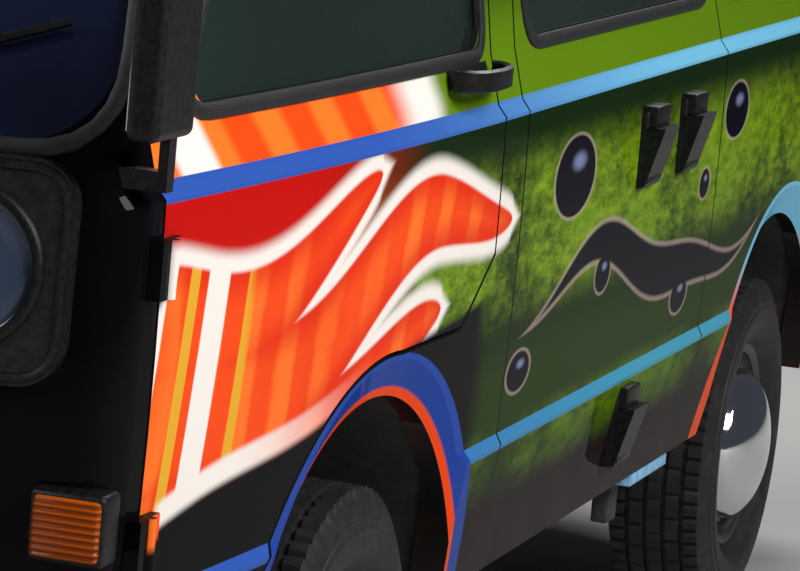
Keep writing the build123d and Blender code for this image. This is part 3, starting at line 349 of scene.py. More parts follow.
    # Bevels round the wheel arches, coloured with painted reflection: blue sky on the front one with an
    # orange lip, and a neighbouring vehicle's orange below sky blue on the rear one
    over = (z - ARCH_Z) * (z - ARCH_Z)
    front_r, rear_r = [((x - axle) * (x - axle) + over).root() for axle in (FRONT_AXLE_X, REAR_AXLE_X)]
    lip = front_r.rise(ARCH_R + 0.016, ARCH_R + 0.011)
    front_bevel_reflection = blend(lip, srgb(34, 66, 150), ORANGE)
    rear_bevel_reflection = blend(z.rise(0.60, 0.72), ORANGE, PALE_SKY_REFLECTION)
    base = blend(front_r.rise(ARCH_FACET_R + STRIPE_SOFT, ARCH_FACET_R), base, front_bevel_reflection)
    base = blend(rear_r.rise(ARCH_FACET_R + STRIPE_SOFT, ARCH_FACET_R), base, rear_bevel_reflection)

    # Dark lines where the panels meet
    away = (x - B_SEAM_X).size().least((x - REAR_SEAM_X).size())
    base = blend(away.rise(SEAM_HALF + STRIPE_SOFT, SEAM_HALF), base, GLOSS_BLACK)

    # Only the outer face carries the decoration and its painted reflections
    outward = finish.place("Normal")[1] * y
    base = blend(outward.rise(0.0, 0.03), INNER_DARK, base)
    return lacquered(finish, base, 0.62, 0.36, 0.22)


def shade(color, times, lift=0.0):
    """A colour made darker or lighter."""
    return tuple(min(1.0, part * times + lift) for part in color[:3]) + (1.0,)


def noisy(name, color, rough, scale=60.0, spread=0.25, depth=0.0, metal=0.0, **sockets):
    """A plain finish whose shade and roughness vary a little, with a grain of the given depth."""
    finish = Finish(name, color, rough, metal, **sockets)
    grain = finish.noise(scale, 4)
    darker, lighter = shade(color, 1 - spread), shade(color, 1 + spread, 0.004)
    finish.set("Base Color", finish.blend(grain.rise(0.3, 0.7), darker, lighter))
    finish.set("Roughness", grain * 0.18 + (rough - 0.09))
    if depth:
        finish.bump(finish.noise(scale * 6, 2), depth)
    return finish.material


def tyre_rubber():
    """Dark rubber with dusty patches."""
    finish = Finish("tyre_rubber", srgb(24, 24, 25), 0.7)
    dust = finish.noise(26, 5).rise(0.42, 0.75) * 0.35
    finish.set("Base Color", finish.blend(dust, srgb(15, 14, 15), srgb(58, 50, 46)))
    finish.set("Roughness", finish.noise(90, 3) * 0.25 + 0.5)
    finish.bump(finish.noise(700, 2), 0.0002)
    return finish.material


def woven(name, color, second, rough=0.85):
    """Cloth with a fine woven grain and soft stripes."""
    finish = Finish(name, color, rough, sheen_weight=0.4, sheen_roughness=0.5)
    x, y, z = finish.place()
    stripe = (y * 95).wave().rise(0.1, 0.5)
    weave = (x * 2100).wave() * (y * 2100).wave() + (z * 2100).wave() * (y * 1300).wave()
    finish.set("Base Color", finish.blend(stripe * 0.5 + finish.noise(160, 3) * 0.3, color, second))
    finish.bump(weave, 0.0006)
    return finish.material


def window_tint(name, color, alpha):
    """Dark tinted glass that lets some of the cabin show, with its hue a painted reflection."""
    finish = Finish(name, color, 0.03, alpha=alpha)
    cloud = finish.noise(0.9, 2).rise(0.35, 0.7) * 0.5
    finish.set("Base Color", finish.blend(cloud, color, shade(color, 2.6)))
    finish.set("Roughness", finish.noise(5, 2) * 0.03 + 0.01)
    finish.set("Coat Weight", 0.5)
    finish.set("Coat Roughness", 0.01)
    finish.material.surface_render_method = "DITHERED"
    return finish.material


def ribbed_lens(name, color, pitch, axis):
    """Coloured lamp plastic with moulded ribs, its colour darkened in the troughs between the ribs as painted
    shade.
    """
    finish = Finish(name, color, 0.12, transmission_weight=0.35, ior=1.49)
    ribs = (finish.place()[axis] * (math.tau / pitch)).wave()
    # Painted shade: darker colour in the troughs of the ribs
    finish.set("Base Color", finish.blend(ribs.rise(-0.6, 0.9), shade(color, 0.45), color))
    finish.bump(ribs, 0.0012)
    add_coat(finish, 0.04)
    return finish.material


def chrome():
    """Bright plate with faint swirls."""
    finish = Finish("chrome", srgb(226, 228, 232), 0.05, 1.0)
    finish.set("Roughness", finish.noise(40, 3) * 0.08 + 0.02)
    finish.bump(finish.noise(11, 2), 0.0004)
    return finish.material


BLACK_PAINT = lacquered(Finish("black_paint", GLOSS_BLACK, 0.25), GLOSS_BLACK, 0.75, 0.38, 0.2)
# Side paint that holds painted reflections of a neighbouring vehicle, a lawn and the sky over the decoration
SIDES_DECOR_AND_REFLECTION = sides_decor_and_reflection()
# Windows in navy, their hue a painted sky reflection
GLASS = window_tint("window_tint", srgb(14, 20, 42), 0.72)
# Side windows in dark green, their hue a painted reflection of greenery
SIDE_GLASS = window_tint("side_window_tint", srgb(30, 44, 36), 0.74)
GRILLE_BLACK = noisy("grille_black", srgb(12, 12, 14), 0.42, 90, 0.3, 0.00015)
BUMPER_BLACK = noisy("bumper_black", srgb(15, 15, 17), 0.38, 50, 0.3, 0.0001)
FITTING_BLACK = noisy("fitting_black", srgb(11, 11, 13), 0.42, 120, 0.3, 0.0002, specular_ior_level=0.25)
RUBBER = noisy("seal_rubber", srgb(16, 16, 17), 0.62, 80, 0.3, 0.0002)
FRAME_STEEL = noisy("frame_steel", srgb(46, 44, 43), 0.7, 30, 0.4, 0.0008)
FLOOR_PAINT = noisy("floor_paint", srgb(50, 49, 48), 0.75, 40, 0.25, 0.0006)
CAB_PLASTIC = noisy("cab_plastic", srgb(40, 40, 44), 0.55, 150, 0.2, 0.0006)
TRIM_CARD = noisy("trim_card", srgb(66, 64, 66), 0.7, 200, 0.2, 0.0005)
SEAT_CLOTH = woven("seat_cloth", srgb(52, 54, 66), srgb(92, 96, 112))
ENGINE_METAL = noisy("engine_metal", srgb(120, 118, 116), 0.5, 24, 0.4, 0.001, 0.8)
RIM_STEEL = noisy("rim_steel", srgb(60, 60, 63), 0.4, 40, 0.3, 0.0003, 0.6)
PLATE_WHITE = noisy("plate_white", srgb(206, 206, 200), 0.35, 20, 0.05)
BRIGHT_TRIM = noisy("bright_trim", srgb(190, 194, 200), 0.22, 70, 0.1, 0, 1.0)
PALE_BLUE = noisy("pale_blue", srgb(120, 176, 214), 0.4, 60, 0.2, 0.0002)
TYRE_RUBBER = tyre_rubber()
CHROME = chrome()
AMBER = ribbed_lens("amber_lens", srgb(220, 96, 8), 0.0085, 2)
RED_LENS = ribbed_lens("red_lens", srgb(170, 12, 10), 0.009, 2)
HEADLAMP_LENS = Finish("headlamp_lens", srgb(66, 80, 104), 0.04, alpha=0.66).material
REVERSE_LENS = ribbed_lens("reverse_lens", srgb(205, 205, 205), 0.009, 2)
CLEAR_LENS = Finish("clear_lens", srgb(226, 232, 238), 0.03, transmission_weight=1.0, ior=1.45).material
REFLECTOR = noisy("lamp_reflector", srgb(150, 156, 168), 0.16, 30, 0.08, 0, 1.0)

FINISHES = {
    "body_paint": BLACK_PAINT, "window_glass": GLASS, "grille_black": GRILLE_BLACK,
    "lamp_glass": CLEAR_LENS, "red_lens": RED_LENS, "bumper_black": BUMPER_BLACK,
    "fitting_black": FITTING_BLACK, "frame_steel": FRAME_STEEL, "floor_paint": FLOOR_PAINT,
    "cab_plastic": CAB_PLASTIC, "seat_cloth": SEAT_CLOTH, "engine_metal": ENGINE_METAL,
    "tyre": TYRE_RUBBER, "wheel_chrome": CHROME,
}
SIDE_PANES = ("side_glass", "door_glass_left", "door_glass_right")
SIDE_NODES = ("door_left", "door_right", "centre_pillars", "mid_side_left", "sliding_door", "rear_side_left",
              "rear_side_right")
for part in frame["record"]["subparts"]:
    node = NODES[part["node"]]
    node.data.materials.clear()
    finish = SIDES_DECOR_AND_REFLECTION if node.name in SIDE_NODES else FINISHES[part["material_slot"]]
    node.data.materials.append(SIDE_GLASS if node.name in SIDE_PANES else finish)


def linked(name, data):
    """An object in the scene."""
    obj = bpy.data.objects.new(name, data)
    bpy.context.scene.collection.objects.link(obj)
    return obj


def piece(name, points, faces, material, body, slot, sharp=35):
    """A mesh piece that rides on a body, smooth apart from edges over the sharp angle."""
    mesh = bpy.data.meshes.new(name)
    mesh.from_pydata([tuple(point) for point in points], [], faces)
    mesh.validate()
    mesh.materials.append(material)
    tidy = bmesh.new()
    tidy.from_mesh(mesh)
    bmesh.ops.recalc_face_normals(tidy, faces=tidy.faces)
    tidy.to_mesh(mesh)
    tidy.free()
    mesh.shade_smooth()
    mesh.set_sharp_from_angle(angle=math.radians(sharp))
    obj = linked(name, mesh)
    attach(obj, body)
    return obj


def grid_faces(rows, columns, close_rows=False, close_columns=False):
    """The faces of a net of points, joined round its ends where closed."""
    faces = []
    for row in range(rows if close_rows else rows - 1):
        for column in range(columns if close_columns else columns - 1):
            below, right = (row + 1) % rows, (column + 1) % columns
            faces.append((row * columns + column, row * columns + right, below * columns + right,
                          below * columns + column))
    return faces


def rounded_block(low, high, radius, segments=3):
    """The points and faces of a box with rounded edges, between two corners."""
    shape = bmesh.new()
    bmesh.ops.create_cube(shape, size=1.0)
    low, high = Vector(low), Vector(high)
    for vert in shape.verts:
        vert.co = Vector(low[axis] + (vert.co[axis] + 0.5) * (high[axis] - low[axis]) for axis in range(3))
    bmesh.ops.bevel(shape, geom=shape.edges, offset=radius, segments=segments, profile=0.5, affect="EDGES")
    points = [vert.co.copy() for vert in shape.verts]
    faces = [[vert.index for vert in face.verts] for face in shape.faces]
    shape.free()
    return points, faces


def joined(*shapes):
    """Several shapes' points and faces as one."""
    points, faces = [], []
    for more_points, more_faces in shapes:
        start = len(points)
        points += [Vector(point) for point in more_points]
        faces += [[index + start for index in face] for face in more_faces]
    return points, faces


def flipped(shape):
    """The same shape on the van's other side."""
    points, faces = shape
    return [Vector((point[0], -point[1], point[2])) for point in points], faces


def side_block(side, low, high, radius):
    """A rounded box on the left side, or its mirror image on the right."""
    shape = rounded_block(low, high, radius)
    return shape if side > 0 else flipped(shape)


def spun(profile, centre, axis, steps=64):
    """A profile of places along an axis and radii, turned about it."""
    axis = Vector(axis).normalized()
    first = axis.orthogonal().normalized()
    second = axis.cross(first)
    points = []
    for step in range(steps):
        turn = math.tau * step / steps
        out = first * math.cos(turn) + second * math.sin(turn)
        points += [Vector(centre) + axis * place + out * radius for place, radius in profile]
    return points, grid_faces(steps, len(profile), close_rows=True)


def swept(path, section, cyclic, out):
    """A section, as places outward and across, carried along a path."""
    points = []
    count = len(path)
    for index, place in enumerate(path):
        ahead = path[(index + 1) % count] if cyclic or index < count - 1 else place
        behind = path[index - 1] if cyclic or index > 0 else place
        along = (Vector(ahead) - Vector(behind)).normalized()
        outward = Vector(out[index] if isinstance(out, list) else out)
        across = along.cross(outward).normalized()
        outward = across.cross(along).normalized()
        points += [Vector(place) + outward * first + across * second for first, second in section]
    sides = len(section)
    faces = grid_faces(count, sides, cyclic, True)
    if not cyclic:
        faces += [tuple(range(sides)), tuple((count - 1) * sides + index for index in range(sides))]
    return points, faces


def ring(radius, sides):
    """A round section for sweeping."""
    turns = [math.tau * step / sides for step in range(sides)]
    return [(radius * math.cos(turn), radius * math.sin(turn)) for turn in turns]


def draw_in(x):
    """How far the body's taper has drawn the side in at x."""
    return max(x - FRONT_TAPER_X, 0) ** 2 / FRONT_TAPER + max(REAR_TAPER_X - x, 0) ** 2 / REAR_TAPER


def side_y(x, z):
    """The left side's outer face at a place along and up."""
    for (low_z, low_y), (high_z, high_y) in zip(SIDE_LINE, SIDE_LINE[1:]):
        if z <= high_z:
            break
    share = min(max((z - low_z) / (high_z - low_z), 0), 1)
    return low_y + (high_y - low_y) * share - draw_in(x)


def tree_of(*names):
    """Something to find the outer surface of some CAD nodes with."""
    points, faces = joined(*[([vert.co for vert in NODES[name].data.vertices],
                              [list(face.vertices) for face in NODES[name].data.polygons]) for name in names])
    return BVHTree.FromPolygons(points, faces)


def found(tree, start, direction):
    """Where a line meets the surface and how it faces there, or the start itself where the line misses."""
    spot, normal, _, _ = tree.ray_cast(Vector(start), Vector(direction))
    return (spot, normal) if spot else (Vector(start), -Vector(direction))


def outline(corners, radius, steps=6):
    """A closed outline of flat points with every corner rounded."""
    points = []
    count = len(corners)
    for index, corner in enumerate(corners):
        corner = Vector(corner)
        before = (Vector(corners[index - 1]) - corner).normalized()
        after = (Vector(corners[(index + 1) % count]) - corner).normalized()
        turn = before.angle(after)
        reach = radius / math.tan(turn / 2)
        start, end = corner + before * reach, corner + after * reach
        for step in range(steps + 1):
            share = step / steps
            points.append(start * (1 - share) ** 2 + corner * 2 * share * (1 - share) + end * share ** 2)
    return points


def divided(points, pitch):
    """A closed outline with points added on its long runs."""
    result = []
    for index, point in enumerate(points):
        following = points[(index + 1) % len(points)]
        parts = max(1, int((following - point).length / pitch))
        result += [point.lerp(following, part / parts) for part in range(parts)]
    return result


# Tyres and wheels
TREAD_EDGES = (-0.050, -0.017, 0.017, 0.050)
GROOVE_HALF = 0.0038
GROOVE_DEPTH = 0.008
TREAD_BLOCKS = (  # beyond this place: share of the groove's depth, pitch, first step left and right
    (0.0545, 0.8, 4, 2, 0), (0.021, 0.6, 7, 1, 4), (-1, 0.4, 5, 0, 0),
)
TREAD_CROWN = 0.30
SHOULDER_R = 0.286
SHOULDER_CUT = 0.004
TYRE_STEPS = 280
CAP_R = 0.1455
CAP_DOME = 0.0755
CAP_EDGE_TURN = 76
CAP_STEPS = 14


def tyre_profile():
    """The tyre's outline as place, radius and whether the point is on the tread."""
    side = [(0.0665, 0.1785), (0.074, 0.196), (0.086, 0.207), (0.0955, 0.222), (0.0995, 0.240),
            (0.0998, 0.256), (0.0978, 0.258), (0.0968, 0.270), (0.0945, 0.272), (0.0905, 0.288),
            (0.0860, 0.299)]
    tread = [-0.0800]
    for edge in TREAD_EDGES:
        low, high = edge - GROOVE_HALF, edge + GROOVE_HALF
        tread += [low - 0.001, low, high, high + 0.001]
        if edge < TREAD_EDGES[-1]:
            tread.append(edge + 0.0165)
    tread.append(0.0800)
    profile = [(-place, radius, False) for place, radius in side]
    profile += [(place, TYRE_R - 0.0012 - TREAD_CROWN * place ** 2, True) for place in tread]
    return profile + [(place, radius, False) for place, radius in reversed(side)]


def tread_drop(place, step):
    """How far a point of the tread lies below the running face."""
    for edge in TREAD_EDGES:
        if abs(place - edge) <= GROOVE_HALF + 1e-6:
            return GROOVE_DEPTH
    for beyond, share, pitch, left, right in TREAD_BLOCKS:
        if abs(place) > beyond:
            start = left if place > 0 else right
            return GROOVE_DEPTH * share if (step + start) % pitch == 0 else 0
    return 0


def build_tyre(name, axle_x, side):
    """A road tyre with ribs and blocks on its tread and plain side walls."""
    profile = tyre_profile()
    points = []
    for step in range(TYRE_STEPS):
        turn = math.tau * step / TYRE_STEPS
        for place, radius, on_tread in profile:
            drop = tread_drop(place, step) if on_tread else 0
            shoulder = not on_tread and radius > SHOULDER_R and (step + (2 if place > 0 else 0)) % 4 == 0
            reach = radius - drop - (SHOULDER_CUT if shoulder else 0)
            points.append((axle_x + reach * math.cos(turn), side * (HALF_TRACK + place),
                           AXLE_Z + reach * math.sin(turn)))
    faces = grid_faces(TYRE_STEPS, len(profile), close_rows=True)
    body = name.replace("tyre", "wheel")
    tyre = piece(name + "_tread", points, faces, TYRE_RUBBER, body, "tyre", 30)
    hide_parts(name)


def build_wheel(name, axle_x, side):
    """A pressed rim, and the domed cap over its middle."""
    centre, axis = (axle_x, side * HALF_TRACK, AXLE_Z), (0, side, 0)
    rim = [(-0.075, 0.172), (-0.074, 0.187), (-0.068, 0.1875), (-0.066, 0.178), (-0.040, 0.176),
           (-0.034, 0.166), (0.020, 0.166), (0.034, 0.176), (0.066, 0.178), (0.068, 0.1875),
           (0.0745, 0.187), (0.0735, 0.180), (0.068, 0.171), (0.056, 0.168), (0.048, 0.160),
           (0.046, 0.152), (0.040, 0.148), (0.036, 0.090), (0.046, 0.085), (0.046, 0.034)]
    back = [(0.028, 0.034), (-0.040, 0.034), (-0.040, 0.062), (0.0, 0.068), (0.012, 0.112), (0.026, 0.140),
            (-0.02, 0.156), (-0.060, 0.163), (-0.075, 0.172)]
    dish = piece(name + "_rim", *spun(rim + back, centre, axis, 96), RIM_STEEL, name, "wheel_chrome")
    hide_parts(name)
    dome = [(0.050, 0.146), (0.057, 0.1498), (0.061, 0.1498), (0.0635, 0.147), (0.064, 0.1435),
            (0.067, 0.141)]
    for step in range(1, CAP_STEPS + 1):
        turn = math.radians(CAP_EDGE_TURN - step * CAP_EDGE_TURN / CAP_STEPS)
        dome.append((0.059 + CAP_DOME * math.cos(turn), CAP_R * math.sin(turn)))
    piece(name + "_cap", *spun(dome, centre, axis, 96), CHROME, name, "wheel_chrome", 60)


for place, axle_x in (("front", FRONT_AXLE_X), ("rear", REAR_AXLE_X)):
    for name, side in SIDES:
        build_tyre(f"tyre_{place}_{name}", axle_x, side)
        build_wheel(f"wheel_{place}_{name}", axle_x, side)

# Surfaces that pieces are laid on
NOSE_TREE = tree_of("nose_panel", "a_pillars", "roof", "grille")
TAIL_TREE = tree_of("rear_panel", "tailgate", "rear_side_left", "rear_side_right", "roof")
FRONT = (3.5, (-1, 0, 0))
TAIL = (-3.5, (1, 0, 0))


def laid(tree, view, points):
    """Places on the nose or the tail under flat points of y and z, with the surface's directions."""
    start_x, direction = view
    hits = [found(tree, (start_x, point[0], point[1]), direction) for point in points]
    outs = [normal if normal.dot(Vector(direction)) < 0 else -normal for _, normal in hits]
    return [spot for spot, _ in hits], outs


def laid_spot(tree, view, y, z):
    """One such place and its direction."""
    spots, outs = laid(tree, view, [(y, z)])
    return spots[0], outs[0]


def on_side(points):
    """Places on the left side under flat points of x and z, with a direction that leans as the side does."""
    places = [Vector((point[0], side_y(point[0], point[1]), point[1])) for point in points]
    outs = []
    for place in places:
        lean = (side_y(place.x, place.z + 0.01) - side_y(place.x, place.z - 0.01)) / 0.02
        outs.append(Vector((0, 1, -lean)).normalized())
    return places, outs


SEAL_SECTION = [(-0.004, -0.011), (0.004, -0.010), (0.007, -0.005), (0.007, 0.005), (0.004, 0.010),
                (-0.004, 0.011)]


def seal(name, path, outs, body):
    """A closed rubber bead round an opening."""
    piece(name, *swept(path, SEAL_SECTION, True, outs), RUBBER, body, "fitting_black")


GROWN = 0.010  # how far the bead lies outside the pane's edge
LOW, HIGH = 1.196, 1.696
SIDE_WINDOWS = (  # name, corners of x and z, corner radius and the bodies that carry it
    ("mid", [(-0.550, LOW), (0.595, LOW), (0.595, HIGH), (-0.550, HIGH)], 0.075, ("body", "body")),
    ("rear", [(-1.960, LOW), (-0.670, LOW), (-0.670, HIGH), (-1.960, HIGH)], 0.075, ("body", "body")),
    ("door", [(0.835, LOW), (1.959, LOW), (1.539, HIGH), (0.835, HIGH)], 0.040, ("door_left", "door_right")),
)
for name, corners, radius, (left_body, right_body) in SIDE_WINDOWS:
    middle = sum((Vector(corner) for corner in corners), Vector((0, 0))) / 4
    grown = [Vector(corner) + Vector((math.copysign(GROWN, corner[0] - middle[0]),
                                      math.copysign(GROWN, corner[1] - middle[1]))) for corner in corners]
    path, outs = on_side(divided(outline(grown, radius + GROWN), 0.08))
    seal(name + "_window_seal_left", path, outs, left_body)
    bead = flipped(swept(path, SEAL_SECTION, True, outs))
    piece(name + "_window_seal_right", *bead, RUBBER, right_body, "fitting_black")
screen = [(-0.838, 1.152), (0.838, 1.152), (0.708, 1.756), (-0.708, 1.756)]
seal("windscreen_seal", *laid(NOSE_TREE, FRONT, divided(outline(screen, 0.095), 0.05)), "body")
gate_window = [(-0.610, 1.170), (0.610, 1.170), (0.570, 1.690), (-0.570, 1.690)]
seal("tailgate_seal", *laid(TAIL_TREE, TAIL, divided(outline(gate_window, 0.085), 0.05)), "tailgate")

# Rain gutters over the doors and side windows
GUTTER_Z = 1.790
GUTTER_STEP = 0.05
GUTTER_SECTION = [(-0.004, -0.007), (0.010, -0.007), (0.014, 0.0), (0.010, 0.007), (0.007, 0.001),
                  (-0.004, 0.003)]
for name, side in SIDES:
    stations = [step * GUTTER_STEP for step in range(-39, 32)]
    run = [Vector((x, side * side_y(x, GUTTER_Z - 0.002), GUTTER_Z)) for x in stations]
    gutter = swept(run, GUTTER_SECTION, False, (0, side, 0))
    piece("gutter_" + name, *gutter, FITTING_BLACK, "body", "fitting_black")


def slab(across, up, reach, thick, steps=(10, 5), side=1):
    """A curved panel that follows the inside or outside of the left side, or of the right one."""
    points = []
    for layer in (0, 1):
        for row in range(steps[1] + 1):
            for column in range(steps[0] + 1):
                x = across[0] + (across[1] - across[0]) * column / steps[0]
                z = up[0] + (up[1] - up[0]) * row / steps[1]
                edge = min(column, steps[0] - column, row, steps[1] - row)
                rise = thick * (0.55 if edge == 0 else 1.0) * layer
                points.append(Vector((x, side * (side_y(x, z) + reach - math.copysign(rise, -reach)), z)))
    wide, count = steps[0] + 1, (steps[0] + 1) * (steps[1] + 1)
    faces = grid_faces(steps[1] + 1, wide)
    faces += [tuple(index + count for index in reversed(face)) for face in grid_faces(steps[1] + 1, wide)]
    rim = [*range(wide), *(row * wide + wide - 1 for row in range(1, steps[1] + 1)),
           *(steps[1] * wide + column for column in range(wide - 2, -1, -1)),
           *(row * wide for row in range(steps[1] - 1, 0, -1))]
    for index, first in enumerate(rim):
        second = rim[(index + 1) % len(rim)]
        faces.append((first, second, second + count, first + count))
    return points, faces


# Headlamps: a bright bowl, a lens over it and a black ring; the indicators stand in dark housings
LAMP_Y = 0.668
LAMP_Z = 1.012
for name, side in SIDES:
    spot, normal = laid_spot(tree_of("nose_panel"), FRONT, side * LAMP_Y, LAMP_Z)
    bowl = [(0.0006, 0.0), (0.0008, 0.014), (0.0040, 0.016), (0.0042, 0.030), (0.0015, 0.034), (0.003, 0.060),
            (0.0075, 0.084), (0.0085, 0.0862)]
    piece("headlamp_bowl_" + name, *spun(bowl, spot, normal, 48), REFLECTOR, "body", "lamp_glass", 50)
    lens = spun([(0.009, 0.0864), (0.0125, 0.084), (0.0150, 0.070), (0.0170, 0.045), (0.0180, 0.020),
                 (0.0182, 0.0)], spot, normal, 48)
    glass = piece("headlamp_lens_" + name, *lens, HEADLAMP_LENS, "body", "lamp_glass", 60)
    rim = spun([(0.004, 0.0890), (0.019, 0.0885), (0.0225, 0.0910), (0.0225, 0.0965), (0.018, 0.1010),
                (0.010, 0.1030)], spot, normal, 64)
    piece("headlamp_ring_" + name, *rim, FITTING_BLACK, "body", "grille_black", 50)
    housing = side_block(side, (2.118, 0.776, 0.681), (2.1735, 0.870, 0.767), 0.007)
    piece("indicator_housing_" + name, *housing, FITTING_BLACK, "body", "lamp_glass")
    lens = side_block(side, (2.150, 0.783, 0.688), (2.181, 0.866, 0.760), 0.006)
    piece("indicator_lens_" + name, *lens, AMBER, "body", "lamp_glass")
    if side > 0:
        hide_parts("front_lamps")

# The grille's raised rim
edge = divided(outline([(-0.790, 0.890), (0.790, 0.890), (0.790, 1.134), (-0.790, 1.134)], 0.050), 0.05)
path, outs = laid(tree_of("grille"), FRONT, edge)
rim = swept(path, ring(0.006, 8), True, outs)
piece("grille_rim", *rim, FITTING_BLACK, "body", "grille_black")

# Service boxes: a back plate, a small cap and a wedge flap, all one fixed piece; on the real boxes the flap
# opens upwards
SERVICE_PLACES = ((-0.080, 0.921, 0.985), (-0.341, 0.921, 0.985), (-0.111, 0.908, 0.525))
boxes = []
for x, y, z in SERVICE_PLACES:
    boxes.append(rounded_block((x - 0.052, y - 0.02, z - 0.066), (x + 0.052, y + 0.013, z + 0.058), 0.003))
    boxes.append(rounded_block((x - 0.036, y - 0.02, z + 0.030), (x + 0.046, y + 0.027, z + 0.066), 0.003))
    flap_side = ((0.010, 0.030), (0.042, 0.034), (0.0385, 0.020), (0.016, -0.062), (0.010, -0.062))
    points = [Vector((x + end, y + out, z + up)) for end in (-0.045, 0.052) for out, up in flap_side]
    ends = [(0, 1, 2, 3, 4), (9, 8, 7, 6, 5)]
    boxes.append((points, ends + [(k, (k + 1) % 5, 5 + (k + 1) % 5, 5 + k) for k in range(5)]))
    boxes.append(rounded_block((x - 0.040, y + 0.012, z - 0.058), (x + 0.047, y + 0.020, z - 0.044), 0.002))
service = piece("service_boxes", *joined(*boxes), FITTING_BLACK, "body", "fitting_black")
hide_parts("hookup_boxes")

# Door handles: a recessed plate with a bowed grip over it and a bright lock button
HANDLE_X = 0.910
HANDLE_Z = 1.165
GRIP_HALF = 0.095
GRIP_Y = 0.900
GRIP_OUT = 0.044
GRIP_SECTION = [(0.013, -0.006), (0.016, 0.0), (0.013, 0.006), (-0.013, 0.006), (-0.016, 0.0),
                (-0.013, -0.006)]
for name, side in SIDES:
    plate = slab((HANDLE_X - 0.090, HANDLE_X + 0.090), (HANDLE_Z - 0.014, HANDLE_Z + 0.014), 0.001, 0.004,
                 side=side)
    turns = [math.radians(step * 7.4 - 88.8) for step in range(25)]
    bow = [Vector((HANDLE_X + GRIP_HALF * math.sin(turn),
                   side * (GRIP_Y + GRIP_OUT * math.cos(turn) ** 0.6), HANDLE_Z)) for turn in turns]
    grip = joined(plate, swept(bow, GRIP_SECTION, False, (0, 0, 1)))
    handle = piece("door_grip_" + name, *grip, FITTING_BLACK, "door_" + name, "fitting_black")
    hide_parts("door_handle_" + name)
    button = spun([(0.0, 0.0095), (0.008, 0.0095), (0.0095, 0.007), (0.0100, 0.0)],
                  (0.800, side * 0.902, 1.150), (0, side, 0), 24)
    piece("door_lock_" + name, *button, BRIGHT_TRIM, "door_" + name, "fitting_black")

# Bright faces on the mirrors' inboard sides
for name, side in SIDES:
    pane = side_block(side, (2.080, 0.8636, 1.191), (2.190, 0.8654, 1.389), 0.0008)
    piece("mirror_glass_" + name, *pane, CHROME, "body", "fitting_black")

# A step under each sill and its bracket
for name, side in SIDES:
    step = side_block(side, (-0.600, 0.800, 0.376), (-0.350, 0.886, 0.399), 0.004)
    bracket = side_block(side, (-0.500, 0.800, 0.290), (-0.440, 0.830, 0.380), 0.004)
    piece("sill_step_" + name, *step, PALE_BLUE, "body", "frame_steel")
    piece("sill_bracket_" + name, *bracket, FRAME_STEEL, "body", "frame_steel")

# Rubbing strips round both bumpers, and blank plates
BUMPER_TREE = tree_of("bumpers")
STRIP_Z = 0.528
STRIP_STEPS = 40
STRIP_TURN = 1.95  # degrees from step to step
STRIP_SECTION = [(-0.002, -0.017), (0.0008, -0.0165), (0.0012, -0.008), (0.0012, 0.008), (0.0008, 0.0165),
                 (-0.002, 0.017)]
for name, centre_x, facing in (("front", 1.95, 1), ("rear", -1.90, -1)):
    path, outs = [], []
    for step in range(-STRIP_STEPS, STRIP_STEPS + 1):
        turn = math.radians(step * STRIP_TURN)
        out = Vector((facing * math.cos(turn), math.sin(turn), 0))
        spot, normal = found(BUMPER_TREE, Vector((centre_x, 0, STRIP_Z)) + out * 3, -out)
        path.append(spot)
        outs.append(normal if normal.dot(out) > 0 else -normal)
    strip = swept(path, STRIP_SECTION, False, outs)
    piece("bumper_strip_" + name, *strip, RUBBER, "body", "bumper_black")
PLATE_HALF = 0.26
plate = rounded_block((2.276, -PLATE_HALF, 0.474), (2.2863, PLATE_HALF, 0.582), 0.002)
piece("plate_front", *plate, PLATE_WHITE, "body", "bumper_black")
x = laid_spot(TAIL_TREE, TAIL, 0, 0.86)[0].x
plate = rounded_block((x - 0.010, -PLATE_HALF, 0.805), (x + 0.006, PLATE_HALF, 0.915), 0.002)
piece("plate_rear", *plate, PLATE_WHITE, "body", "body_paint")

# Wipers: a spindle cap, a flat arm and a thin blade on each
SCREEN_TREE = tree_of("windscreen", "nose_panel", "a_pillars")
ARM_SHARE = 0.72
BLADE_START = 0.22
ARM_SECTION = [(0.003, -0.006), (0.003, 0.006), (-0.003, 0.006), (-0.003, -0.006)]
for name, pivot, tip in (("left", (0.28, 1.120), (0.735, 1.285)), ("right", (-0.42, 1.120), (0.10, 1.230))):
    bars = []
    arm_shares = [step / 8 * ARM_SHARE for step in range(9)]
    blade_shares = [BLADE_START + (1 - BLADE_START) * step / 12 for step in range(13)]
    for shares, lift, section in ((arm_shares, 0.024, ARM_SECTION), (blade_shares, 0.014, ring(0.006, 6))):
        line = [Vector(pivot).lerp(Vector(tip), share) for share in shares]
        path, outs = laid(SCREEN_TREE, FRONT, line)
        bars.append(swept([spot + out * lift for spot, out in zip(path, outs)], section, False, outs))
    cap = spun([(0.0, 0.016), (0.018, 0.015), (0.026, 0.012), (0.028, 0.0)],
               laid_spot(SCREEN_TREE, FRONT, *pivot)[0], (1, 0, 0.2), 20)
    piece("wiper_" + name, *joined(*bars, cap), FITTING_BLACK, "body", "fitting_black")

